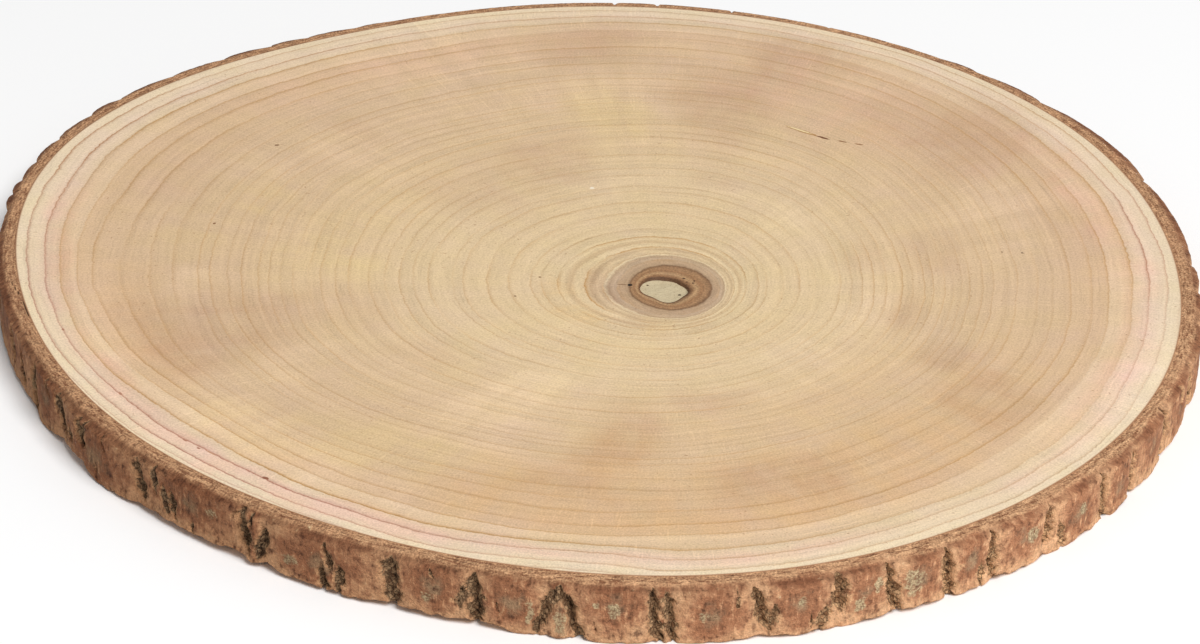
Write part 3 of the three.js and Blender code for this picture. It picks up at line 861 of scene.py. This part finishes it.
def bark_material(colours):
    material, shading, shader = new_material("bark")
    place = shading.add("TexCoord").outputs["Object"]
    unrolled = shading.attribute("unrolled", "Vector")
    cloud = shading.cloud
    mark = shading.attribute
    # Painted light and shade by side: lighter round 310 degrees, darker round 205
    side_shade = mark("side_shade")
    streaks = cloud(shading.scaled(unrolled, (1.0, 1.0, 0.25)), 1000.0, 3.0)
    tangled = cloud(shading.scaled(unrolled, (0.16, 0.16, 1.0)), 1500.0, 3.0)
    blotches = cloud(place, 170.0, 4.0)
    patches = cloud(place, 460.0, 4.0)
    grit = cloud(place, 1700.0, 4.0)
    crumbs = shading.group(crumb_group(), {"Vector": place, "Scale": 800.0})

    # Plates, from their greyish middles to the fresh edges beside a fissure
    across = shading.math("MULTIPLY_ADD", blotches, 0.5, mark("plate"))
    across = shading.math("MULTIPLY_ADD", patches, 0.35, across)
    colour = shading.ramp(across, PLATE_COLOURS)
    pale = shading.range(shading.math("MULTIPLY_ADD", patches, 0.5, streaks), 0.12, 0.6, 0.0, 0.75)
    colour = shading.mix(pale, colour, linear(BARK_PALE_STREAK))
    # Dark streaks, stronger where more shade is painted
    dark = shading.math("MULTIPLY_ADD", streaks, 0.5, patches)
    most = shading.math("MULTIPLY_ADD", side_shade, 0.4, 0.5)
    dark = shading.range(dark, -0.1, -0.55, 0.0, most)
    colour = shading.mix(dark, colour, linear(BARK_DARK_STREAK))
    margin = shading.math("MULTIPLY_ADD", patches, 0.8, mark("margin"))
    margin = shading.math("MULTIPLY_ADD", streaks, 0.7, margin)
    colour = shading.mix(shading.range(margin, 0.45, 1.05), colour, tuple(colours.bark_edge))
    # Painted shade under the overhanging edge of the slope, in soft patches
    colour = shading.mix(mark("eave_shade"), colour, linear(BARK_EAVE_SHADE))

    # Sawn rim, the thin film of lichen, and the crumbs of the fissures, with painted shade between
    # the crumbs and in the cracks
    factor = shading.math("MULTIPLY_ADD", tangled, 1.3, 0.5)
    factor = shading.math("MULTIPLY_ADD", grit, 0.8, factor, clamp=True)
    sawn = shading.mix(factor, *map(linear, SAWN_BARK))
    colour = shading.mix(mark("rind"), colour, sawn)
    lichen = shading.math("MULTIPLY_ADD", grit, 0.8, mark("lichen"))
    lichen = shading.math("MULTIPLY_ADD", patches, 1.3, lichen)
    factor = shading.math("MULTIPLY_ADD", grit, 1.6, 0.5, clamp=True)
    film = shading.mix(factor, *map(linear, LICHEN))
    colour = shading.mix(shading.range(lichen, 0.4, 1.1, 0.0, 0.8), colour, film)
    tone = shading.math("MULTIPLY_ADD", grit, 0.7, crumbs["Tone"], clamp=True)
    # Crumbs painted lighter on the lit side and darker on the shaded side
    fresh = shading.mix(tone, *map(linear, LIT_CRUMBS))
    crust = shading.mix(side_shade, fresh, shading.mix(tone, *map(linear, SHADED_CRUMBS)))
    # Painted shade in the gaps between the crumbs
    gap = shading.math("MULTIPLY", crumbs["Gap"], 0.5)
    crust = shading.mix(gap, crust, tuple(colours.crevice))
    core = shading.math("MULTIPLY_ADD", grit, 0.5, mark("core"))
    core = shading.math("MULTIPLY_ADD", patches, 0.5, core)
    core = shading.range(core, 0.42, 0.66)
    colour = shading.mix(core, colour, crust)
    # Painted shade in the crevices, the pits, the crack by the wood and the lines along the slope
    crevice_shade = shading.math("MULTIPLY_ADD", grit, 0.4, mark("crevice_shade"))
    crevice_shade = shading.range(crevice_shade, 0.45, 0.85, 0.0, 0.92)
    colour = shading.mix(crevice_shade, colour, tuple(colours.crevice))
    # Painted light and shade by side, over all of the bark's colour
    colour = shading.mix(1.0, colour, shading.mix(side_shade, *SIDE_LIGHT_AND_SHADE), "MULTIPLY")

    # Bright and dark grit, streaks and patches, which also make the bump
    shade = shading.math("MULTIPLY_ADD", grit, 0.55, 1.0)
    shade = shading.math("MULTIPLY_ADD", patches, 0.35, shade)
    shade = shading.math("MULTIPLY_ADD", streaks, 0.3, shade)
    colour = shading.brighten(colour, shade)
    height = shading.math("MULTIPLY_ADD", streaks, 0.5, grit)
    height = shading.math("MULTIPLY_ADD", patches, 0.8, height)
    height = shading.math("MULTIPLY_ADD", shading.math("MULTIPLY", gap, core), -2.0, height)
    finish_surface(shading, shader, colour, height, 0.8, 0.0005)
    shader.inputs["Roughness"].default_value = 0.88
    shader.inputs["Specular IOR Level"].default_value = 0.2
    return material


# Meshes


def spun_mesh(name, profile, steps, closed, cuts=0):
    """Spins a profile of (radius, height) round the trunk's axis, then cuts each step finer. Each
    vertex keeps the number of its profile point in the attribute "row"."""
    mesh = bpy.data.meshes.new(name)
    work = bmesh.new()
    row = work.verts.layers.float.new("row")
    points = []
    for index, (radius, height) in enumerate(profile):
        point = work.verts.new((radius, 0, height))
        point[row] = index
        points.append(point)
    following = points[1:] + points[:1] if closed else points[1:]
    edges = [work.edges.new(pair) for pair in zip(points, following)]
    bmesh.ops.spin(
        work,
        geom=points + edges,
        cent=(0, 0, 0),
        axis=(0, 0, 1),
        angle=2 * math.pi,
        steps=steps,
        use_merge=True,
    )
    bmesh.ops.remove_doubles(work, verts=work.verts, dist=1e-6)
    if cuts:
        around = [edge for edge in work.edges if abs(edge.verts[0][row] - edge.verts[1][row]) < 0.5]
        bmesh.ops.subdivide_edges(work, edges=around, cuts=cuts)
    bmesh.ops.recalc_face_normals(work, faces=work.faces)
    work.to_mesh(mesh)
    work.free()
    mesh.shade_smooth()
    return mesh


def mesh_points(mesh):
    places = np.empty(len(mesh.vertices) * 3)
    mesh.vertices.foreach_get("co", places)
    return places.reshape(-1, 3)


def mesh_rows(mesh):
    rows = np.empty(len(mesh.vertices), np.float32)
    mesh.attributes["row"].data.foreach_get("value", rows)
    return np.rint(rows).astype(int)


def place_points(mesh, x, y, z):
    """Moves the mesh to its place on the slice, given in mm from the trunk's centre."""
    places = np.column_stack((x + TRUNK_CENTRE[0], y + TRUNK_CENTRE[1], z)) * MILLIMETRE
    mesh.vertices.foreach_set("co", places.ravel())
    mesh.attributes.remove(mesh.attributes["row"])
    mesh.update()


def store(mesh, name, values):
    """Keeps a number or a vector for each point of a mesh, for its material to read."""
    kind, field = ("FLOAT", "value") if values.ndim == 1 else ("FLOAT_VECTOR", "vector")
    attribute = mesh.attributes.new(name, kind, "POINT")
    attribute.data.foreach_set(field, values.astype(np.float32).ravel())


def store_map(mesh, u, v):
    """Keeps the flat map named OFBake, given for each corner of each face."""
    layer = mesh.uv_layers.new(name="OFBake")
    layer.data.foreach_set("uv", np.stack((u, v), axis=2).ravel())


def face_corners(mesh):
    """The points of each face, all of which have four corners."""
    loops = np.empty(len(mesh.loops), np.int32)
    mesh.loops.foreach_get("vertex_index", loops)
    return loops.reshape(-1, 4)


def add_piece(name, mesh, material):
    piece = bpy.data.objects.new(name, mesh)
    bpy.context.scene.collection.objects.link(piece)
    mesh.materials.append(material)
    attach(piece, BODY)
    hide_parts(CAD_NODE)
    return piece


class SliceForm:
    """The shapes that the pieces share, in mm from the trunk's centre."""

    def __init__(self, sizes):
        self.thickness = sizes.thickness / MILLIMETRE
        self.radius = sizes.wood_radius / MILLIMETRE
        self.bark = sizes.bark_thickness / MILLIMETRE
        self.flat = sizes.bark_flat / MILLIMETRE
        self.slope = sizes.chamfer_depth / MILLIMETRE

    def wood_radius(self, angle):
        return self.radius + waves(TRUNK_WAVES, angle)

    def pith_point(self, angle, scale):
        reach = scale * (1 + waves(PITH_WAVES, angle))
        x = PITH_CENTRE[0] + PITH_RADII[0] * reach * np.cos(angle)
        y = PITH_CENTRE[1] + PITH_RADII[1] * reach * np.sin(angle)
        return x, y

    def grown_point(self, angle, growth):
        """Where the wood lies that grew at one time: 0 at the pith's centre and 1 at the bark."""
        bulge = 27 / 4 * growth**2 * (1 - growth)  # 0 at the pith and at the bark, 1 at most
        reach = growth + bulge * waves(GROWTH_WAVES, angle)
        edge = self.wood_radius(angle)
        x = PITH_CENTRE[0] * (1 - reach) + edge * np.cos(angle) * reach
        y = PITH_CENTRE[1] * (1 - reach) + edge * np.sin(angle) * reach
        # Near the middle the rings follow the pith, and then the brown ring round it
        inner = np.clip((growth - PITH_GROWTH) / (BROWN_GROWTH - PITH_GROWTH), 0, None)
        turned = np.clip(inner, 0, 1)
        centre = [p + (b - p) * turned for p, b in zip(PITH_CENTRE, BROWN_CENTRE)]
        pith_reach = 1 + waves(PITH_WAVES, angle) * (1 - turned)
        radii = [p + (b - p) * inner for p, b in zip(PITH_RADII, BROWN_RADII)]
        near_x = centre[0] + radii[0] * pith_reach * np.cos(angle)
        near_y = centre[1] + radii[1] * pith_reach * np.sin(angle)
        even = smooth(BROWN_GROWTH, EVEN_GROWTH, growth)
        return near_x + (x - near_x) * even, near_y + (y - near_y) * even


def disc_map(mesh, growth, angle, upper_face):
    """Flat map of the disc: the upper face large and the lower one small."""
    corners = face_corners(mesh)
    upper = upper_face[corners].mean(axis=1) > 0.5
    radius = np.where(upper, UPPER_MAP_RADIUS, LOWER_MAP_RADIUS)[:, None] * growth[corners]
    middle = np.where(upper, UPPER_MAP_MIDDLE, LOWER_MAP_MIDDLE)[:, None]
    u = middle + radius * np.cos(angle[corners])
    v = middle + radius * np.sin(angle[corners])
    store_map(mesh, u, v)


class WOODSLICE_OT_wood(bpy.types.Operator):
    """Builds the sawn wood with its growth rings"""

    bl_idname = "wood_slice.wood"
    bl_label = "Wood"

    def execute(self, context):
        form = SliceForm(context.scene.slice_sizes)
        upper = [*WOOD_INNER_STEPS, *np.linspace(EVEN_GROWTH, 1, WOOD_OUTER_STEPS)]
        lower = upper[::-2]
        upper.insert(-1, NEAR_EDGE)
        lower.insert(1, NEAR_EDGE)
        profile = [(growth, 1) for growth in upper] + [(growth, 0) for growth in lower]
        mesh = spun_mesh("wood_disc", profile, WOOD_COLUMNS, True)
        places = mesh_points(mesh)
        angle = np.arctan2(places[:, 1], places[:, 0])
        growth = np.hypot(places[:, 0], places[:, 1])
        x, y = form.grown_point(angle, growth)
        upper_face = places[:, 2] > 0.5
        disc_map(mesh, growth, angle, upper_face)
        growth_places = places * FLAT
        store(mesh, "growth", growth_places)
        self.stain(mesh, growth_places)
        place_points(mesh, x, y, np.where(upper_face, form.thickness, 0))
        material = wood_material(context.scene.slice_colours)
        add_piece("wood_disc", mesh, material)
        return {"FINISHED"}

    def stain(self, mesh, places):
        """Stores the course of the outer rings, and soft stains with uneven edges."""
        azimuth = np.degrees(np.arctan2(places[:, 1], places[:, 0])) % 360
        growth = np.hypot(places[:, 0], places[:, 1])
        course = np.array(OUTER_RINGS).T
        early, late, pink = (np.interp(azimuth, course[0], values) for values in course[1:])
        outward = smooth(0.88, 0.94, growth)
        drift = (early + (late - early) * outward) * smooth(0.74, 0.86, growth)
        store(mesh, "drift", drift)
        store(mesh, "pink_line", pink)
        strength = np.interp(azimuth, LINE_AZIMUTHS, LINE_STRENGTHS)
        store(mesh, "line_strength", 1 + (strength - 1) * smooth(0.84, 0.92, growth))
        azimuth += STAIN_WANDER * noise_field(places, 0.13, 3.7)
        growth += STAIN_DRIFT * noise_field(places, 0.1, 9.1)
        for name, (stains, _) in STAINS.items():
            tone = np.zeros(len(places))
            for middle, depth, wide, deep, strength in stains:
                turn = (azimuth - middle + 180) % 360 - 180
                away = (np.abs(turn / wide) ** 3 + np.abs((growth - depth) / deep) ** 3) ** (1 / 3)
                tone = np.maximum(tone, strength * (1 - smooth(0.4, 1.6, away)))
            store(mesh, name, tone)


class WOODSLICE_OT_pith(bpy.types.Operator):
    """Builds the soft pith, sunken into both faces"""

    bl_idname = "wood_slice.pith"
    bl_label = "Pith"

    def execute(self, context):
        form = SliceForm(context.scene.slice_sizes)
        profile = [(share, 1) for share in PITH_STEPS] + [(share, 0) for share in PITH_STEPS[::-1]]
        mesh = spun_mesh("pith_core", profile, PITH_COLUMNS, False)
        places = mesh_points(mesh)
        angle = np.arctan2(places[:, 1], places[:, 0])
        share = np.hypot(places[:, 0], places[:, 1])
        x, y = form.pith_point(angle, share)
        apart = 40  # keeps the lumps of the two faces from being alike
        lumps = unevenness(np.column_stack((x, y, places[:, 2] * apart)), PITH_LUMPS)
        sunk = PITH_DEPTH - PITH_RIM * smooth(0.85, 1.0, share) + lumps
        height = np.where(places[:, 2] > 0.5, form.thickness - sunk, sunk)
        place_points(mesh, x, y, height)
        material = pith_material(context.scene.slice_colours)
        add_piece("pith_core", mesh, material)
        return {"FINISHED"}


class WOODSLICE_OT_bark(bpy.types.Operator):
    """Builds the bark with its plates, fissures and sanded rim"""

    bl_idname = "wood_slice.bark"
    bl_label = "Bark"

    def execute(self, context):
        form = SliceForm(context.scene.slice_sizes)
        rows = self.profile_rows(form)
        apart = 2.2  # keeps the rows of the slope apart until the points are placed
        profile = [
            (form.radius + across * form.flat + down * apart, form.thickness - depth)
            for across, down, depth in rows
        ]
        mesh = spun_mesh("bark_ring", profile, BARK_SPIN_STEPS, True, BARK_CUTS)
        places = mesh_points(mesh)
        angle = np.arctan2(places[:, 1], places[:, 0])
        row = mesh_rows(mesh)
        across, down, depth = np.array(rows)[row].T
        relief = BarkRelief(form, angle, depth)
        wood = form.wood_radius(angle)
        rim = np.minimum(wood + form.flat, relief.rim_radius - LEAST_SLOPE)
        radius = wood + across * (rim - wood) + down * (relief.radius - rim)
        x, y = radius * np.cos(angle), radius * np.sin(angle)
        on_top = (down < 1) & (depth < form.thickness / 2)
        grit = unevenness(np.column_stack((x, y, depth)), SAWN_GRIT)
        height = form.thickness - depth + np.where(on_top, grit, 0)
        height += self.worn_away(form, relief, down)
        height = np.clip(height, 0, form.thickness - 0.03)
        self.map_strips(mesh, angle, row, len(rows))
        self.store_marks(mesh, form, relief, across, down, on_top, radius - wood)
        place_points(mesh, x, y, height)
        material = bark_material(context.scene.slice_colours)
        add_piece("bark_ring", mesh, material)
        return {"FINISHED"}

    def worn_away(self, form, relief, down):
        """How far the lower edge of the bark is raised where it has chipped and worn away."""
        depth = relief.depth
        chips = np.clip(unevenness(relief.places * FLAT, CHIPS) + 0.1, 0, 0.7)
        raised = np.where(depth > form.thickness - CHIP_REACH, CHIP_HEIGHT * chips * down, 0)
        worn = np.interp(relief.azimuth, WORN_AZIMUTHS, WORN_HEIGHTS, period=360)
        worn = np.clip(worn + 0.5 * relief.ragged, 0, None) * smooth(0.3, 0.8, down)
        return raised + worn * (depth / form.thickness) ** 3

    def store_marks(self, mesh, form, relief, across, down, on_top, from_wood):
        """Keeps what the bark's material follows. The sawn top shows less of it than the wall."""
        depth = relief.depth
        # A line of painted shade in the crack between the wood and the bark, on the sawn top only
        distance = np.interp(relief.azimuth, CRACK_AZIMUTHS, CRACK_DISTANCES, left=9, right=9)
        crack = np.clip(1.3 - np.abs(from_wood - distance) / CRACK_HALF_WIDTH, 0, 1)
        below = np.where(on_top, smooth(0, 0.5, down), 1)
        level = depth + across * form.flat + down * 1.5
        sanded = 0.45 + unevenness(relief.places * FLAT, SANDING_PATCHES)
        rind = 1 - smooth(sanded - 0.35, sanded + 0.35, depth + 0.6 * relief.ragged)
        store(mesh, "crevice_shade", np.maximum(relief.crevice_shade * below, on_top * crack))
        store(mesh, "core", np.where(on_top, relief.core * down, relief.core))
        store(mesh, "margin", relief.margin)
        store(mesh, "eave_shade", relief.eave_shade * below)
        store(mesh, "unrolled", np.column_stack((relief.places[:, :2], level)) * MILLIMETRE)
        store(mesh, "lichen", relief.lichen * down)
        store(mesh, "plate", relief.plate)
        # Painted light and shade by side, weaker on the sawn top
        store(mesh, "side_shade", relief.side_shade * (0.35 + 0.65 * smooth(0, 0.5, down)))
        store(mesh, "rind", rind)

    def profile_rows(self, form):
        """Rows of the bark from its inner edge over the rim, down the wall and back underneath.
        Each is its share of the way across the sawn bark, its share of the way down the slope and
        its depth below the upper face."""
        rows = [(-0.4, 0, 0.05), (-0.1, 0, 0.05)]
        rows += [(across, 0, 0.05) for across in SAWN_STEPS]
        rows += [(1, 0, 0.08)]
        rows += [(1, step, form.slope * step**1.1) for step in SLOPE_STEPS]
        last = form.thickness - 0.5
        rows += [(1, 1, depth) for depth in np.linspace(form.slope, last, WALL_STEPS)]
        rows += [(1, 0.93, form.thickness - 0.12), (1, 0.8, form.thickness)]
        rows += [(0.5, 0, form.thickness), (-0.4, 0, form.thickness - 0.05)]
        return rows

    def map_strips(self, mesh, angle, row, rows):
        """The bark's flat map, in six strips one above the other."""
        strips = 6
        gap = 0.02  # below and above each strip, as a share of its height
        edge = 0.002
        corners = face_corners(mesh)
        column = np.rint(angle / (2 * math.pi) * BARK_COLUMNS).astype(int) % BARK_COLUMNS
        corner_column = column[corners]
        first = corner_column.min(axis=1)
        wraps = corner_column.max(axis=1) - first > 1
        corner_column[wraps] = np.where(corner_column[wraps] == 0, BARK_COLUMNS, BARK_COLUMNS - 1)
        first = corner_column.min(axis=1)
        corner_row = row[corners]
        ends = corner_row.max(axis=1) - corner_row.min(axis=1) > 1
        corner_row[ends] = np.where(corner_row[ends] == 0, rows, corner_row[ends])
        length = BARK_COLUMNS // strips
        strip = first // length
        u = (corner_column - (strip * length)[:, None]) / length
        v = (strip[:, None] + gap + (1 - 2 * gap) * corner_row / rows) / strips
        store_map(mesh, edge + (1 - 2 * edge) * u, v)


class BarkRelief:
    """Radius of the bark at each point, and the marks that its shading follows."""

    def __init__(self, form, angle, depth):
        self.form = form
        self.depth = depth
        self.around = form.radius + form.bark
        self.azimuth = np.degrees(angle) % 360
        self.face = form.wood_radius(angle) + form.bark + waves(BARK_WAVES, angle)
        round_x = self.around * np.cos(angle)
        round_y = self.around * np.sin(angle)
        self.places = np.column_stack((round_x, round_y, depth))
        self.bent = self.azimuth + np.degrees(unevenness(self.places, BEND) / self.around)
        self.bent_depth = depth + unevenness(self.places, DEPTH_BEND)
        self.ragged = unevenness(self.places, RAGGEDNESS)
        self.rough = unevenness(self.places, ROUGHNESS)
        self.spread = 1 + unevenness(self.places, SPREAD)
        self.gape = CREVICE_HALF_WIDTH + WIDER_GAPE * smooth(250, 235, self.azimuth)
        self.plates()
        cut, self.crevice_shade, self.margin, self.core = self.cut_at(self.bent_depth)
        self.lichen = self.lichen_patches()
        crumbs = 0.45 * self.rough + unevenness(self.places, FINE_CRUMBS)
        relief = unevenness(self.places, BARK_LUMPS)
        relief += unevenness(self.places * (1, 1, 0.25), FIBRES)
        relief += crumbs * np.clip(self.core * 1.5, 0, 1)
        self.radius = self.face + self.swell - cut + relief
        slope_cut = self.cut_at(np.full_like(depth, form.slope))[0]
        self.rim_radius = self.face + self.swell - slope_cut
        self.rim_radius += unevenness(self.places * FLAT, RIM_LUMPS)
        # Painted light and shade by azimuth
        self.side_shade = np.interp(self.azimuth, SIDE_SHADE_AZIMUTHS, SIDE_SHADE)
        # Painted shade in the thin lines along the slope, where the bark has come away
        self.crevice_shade = np.maximum(self.crevice_shade, EAVE_DARKNESS * self.eaves())
        # Soft painted shade under the edge of the slope, kept out of the fissures
        edge = (depth - 0.5 * form.slope - 0.6 * self.ragged) / 0.8
        patchy = 0.55 + unevenness(self.places, EAVE_PATCHES)
        self.eave_shade = np.clip(patchy, 0.1, 0.8) * np.exp(-(edge**2)) * (1 - self.core)

    def plates(self):
        """Swell of the plates between the long fissures, and how far each point is from the middle
        of its plate."""
        draw = seeded_draws(PLATE_SEED)
        middles = random.Random(PLATE_SEED)
        borders = np.array(sorted(f[0] for f in FISSURES if f[2] - f[1] > PLATE_BORDER_LENGTH))
        swells = np.array([between(PLATE_SWELL, next(draw)) for _ in borders])
        levels = np.array([middles.uniform(*PLATE_MIDDLE) for _ in borders])
        following = np.searchsorted(borders, self.azimuth, side="right") % len(borders)
        last = following - 1
        span = (borders[following] - borders[last]) % 360
        share = ((self.azimuth - borders[last]) % 360) / span
        self.swell = swells[last] * (1 - np.abs(2 * share - 1) ** 3)
        upright = self.bent_depth - levels[last]
        upright /= np.where(upright < 0, PLATE_REACH_UP, PLATE_REACH_DOWN)
        self.plate = np.clip(np.hypot((2 * share - 1) * 0.95, upright), 0, 1)

    def turn_from(self, azimuth):
        return (self.bent - azimuth + 180) % 360 - 180

    def cut_at(self, depth):
        """How deep the fissures cut, with the painted shade of their crevices, their fresh margins
        and crumbling cores.
        """
        cut = np.zeros_like(depth)
        crevice_shade = np.zeros_like(depth)
        margin = np.zeros_like(depth)
        core = np.zeros_like(depth)
        pits = tuple((*pit, PIT_DEPTH, 0.0) for pit in PITS)
        for middle, upper, lower, lean, width, deepest, crevice in FISSURES + pits:
            turn = self.turn_from(middle)
            near = np.abs(turn) < FISSURE_REACH
            level = depth[near]
            along = (level - upper) / (lower - upper)
            sideways = np.radians(turn[near]) * self.around - lean * (along - 0.5)
            wide = self.spread[near] * width / 2
            across = sideways / wide
            to_upper = (level - upper) / FISSURE_END_FADE + 1
            to_lower = (lower - level) / FISSURE_END_FADE + 1
            end = np.clip(np.minimum(to_upper, to_lower), 0, 1)
            taper = np.clip(np.minimum(to_upper, to_lower) / 2.2, 0.3, 1)
            valley = end * np.clip(1 - (across / taper) ** 2, 0, 1)
            # The crevice in it, and a fainter one on its other side, each cut and darkened with
            # painted shade
            split = 0.8 + 0.7 * self.rough[near]
            slit = end * np.clip(split - np.abs(across - crevice) * wide / self.gape[near], 0, 1)
            side = crevice - math.copysign(0.75, crevice)
            second = np.clip(0.35 + 1.6 * self.ragged[near], 0, 0.9) * valley
            second -= np.abs(across - side) * wide / 0.7
            slit = np.maximum(slit, end * np.clip(second, 0, 1))
            cut[near] = np.maximum(cut[near], deepest * valley + CREVICE_DEPTH * slit)
            crevice_shade[near] = np.maximum(crevice_shade[near], slit)
            # The fresh bark on both sides of it, and its crumbs
            beside = end * (1 - smooth(0.9, 1.6, np.abs(across / taper)))
            margin[near] = np.maximum(margin[near], beside)
            core[near] = np.maximum(core[near], valley**0.6)
        cut *= 1 - FOOT_SHALLOWING * smooth(14.5, 17, depth)
        return cut, crevice_shade, margin, core

    def eaves(self):
        """Thin lines of painted shade along the slope, where the bark has come away."""
        level = self.depth - 0.6 * self.form.slope - 0.9 * self.ragged - 0.4 * self.rough
        line = np.clip(1.3 - np.abs(level) / EAVE_HALF_WIDTH, 0, 1)
        open_here = np.zeros_like(line)
        for middle, half in EAVES:
            away = np.abs(self.turn_from(middle)) / half
            open_here = np.maximum(open_here, 1 - smooth(0.7, 1.1, away))
        return line * open_here * np.clip(0.8 + 0.6 * self.rough, 0, 1)

    def lichen_patches(self):
        lichen = np.zeros_like(self.depth)
        for middle, upper, lower, width in LICHEN_PATCHES:
            sideways = np.radians(self.turn_from(middle)) * self.around / (width / 2)
            along = (self.bent_depth - (upper + lower) / 2) / ((lower - upper) / 2)
            lichen = np.maximum(lichen, np.clip(1.3 - sideways**2 - along**2, 0, 1))
        return lichen


class WOODSLICE_OT_stage(bpy.types.Operator):
    """Sets the floor, the lights and the camera"""

    bl_idname = "wood_slice.stage"
    bl_label = "Stage"

    def execute(self, context):
        scene = context.scene
        self.add_floor(scene)
        self.light_world(scene)
        self.add_key_light(scene)
        self.add_camera(scene)
        scene.view_settings.view_transform = "Standard"
        return {"FINISHED"}

    def add_floor(self, scene):
        mesh = bpy.data.meshes.new("floor")
        work = bmesh.new()
        bmesh.ops.create_grid(work, x_segments=1, y_segments=1, size=FLOOR_HALF_WIDTH)
        work.to_mesh(mesh)
        work.free()
        floor = bpy.data.objects.new("floor", mesh)
        scene.collection.objects.link(floor)
        material, _, shader = new_material("floor")
        shader.inputs["Base Color"].default_value = (0.98, 0.98, 0.98, 1)
        shader.inputs["Roughness"].default_value = 0.9
        shader.inputs["Specular IOR Level"].default_value = 0.1
        mesh.materials.append(material)

    def light_world(self, scene):
        world = bpy.data.worlds.new("studio")
        scene.world = world
        world.use_nodes = True
        background = world.node_tree.nodes["Background"]
        background.inputs["Color"].default_value = (1, 1, 1, 1)
        background.inputs["Strength"].default_value = WORLD_STRENGTH

    def add_key_light(self, scene):
        light = bpy.data.lights.new("key_light", "AREA")
        light.shape = "DISK"
        light.size = KEY_SIZE
        light.energy = KEY_POWER
        lamp = bpy.data.objects.new("key_light", light)
        lamp.location = KEY_PLACE
        lamp.rotation_euler = (-Vector(KEY_PLACE)).to_track_quat("-Z", "Y").to_euler()
        scene.collection.objects.link(lamp)

    def add_camera(self, scene):
        view = bpy.data.cameras.new("camera")
        view.lens = CAMERA_LENS
        view.sensor_width = 36
        view.clip_start = 0.05
        view.clip_end = 50
        camera = bpy.data.objects.new("camera", view)
        back = Vector((0, -math.cos(CAMERA_ELEVATION), math.sin(CAMERA_ELEVATION)))
        camera.location = Vector(CAMERA_TARGET) * MILLIMETRE + back * CAMERA_DISTANCE
        turn = back.to_track_quat("Z", "Y") @ Quaternion((0, 0, 1), CAMERA_ROLL)
        camera.rotation_euler = turn.to_euler()
        scene.collection.objects.link(camera)
        scene.camera = camera


class WOODSLICE_PT_pieces(bpy.types.Panel):
    """Lists the pieces of the slice, with its sizes and colours"""

    bl_idname = "WOODSLICE_PT_pieces"
    bl_label = "Wood Slice"
    bl_space_type = "VIEW_3D"
    bl_region_type = "UI"
    bl_category = "Wood Slice"

    def draw(self, context):
        for settings in (context.scene.slice_sizes, context.scene.slice_colours):
            box = self.layout.box()
            for name in settings.__annotations__:
                box.prop(settings, name)
        for operator in OPERATORS:
            self.layout.operator(operator.bl_idname)


SETTINGS = (SliceSizes, SliceColours)
OPERATORS = (WOODSLICE_OT_stage, WOODSLICE_OT_wood, WOODSLICE_OT_pith, WOODSLICE_OT_bark)


def register():
    for item in SETTINGS + OPERATORS + (WOODSLICE_PT_pieces,):
        bpy.utils.register_class(item)
    bpy.types.Scene.slice_sizes = bpy.props.PointerProperty(type=SliceSizes)
    bpy.types.Scene.slice_colours = bpy.props.PointerProperty(type=SliceColours)


def unregister():
    del bpy.types.Scene.slice_colours
    del bpy.types.Scene.slice_sizes
    for item in (SETTINGS + OPERATORS + (WOODSLICE_PT_pieces,))[::-1]:
        bpy.utils.unregister_class(item)


def main():
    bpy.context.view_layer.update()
    register()
    bpy.ops.wood_slice.stage()
    bpy.ops.wood_slice.wood()
    bpy.ops.wood_slice.pith()
    bpy.ops.wood_slice.bark()


if __name__ == "__main__":
    main()
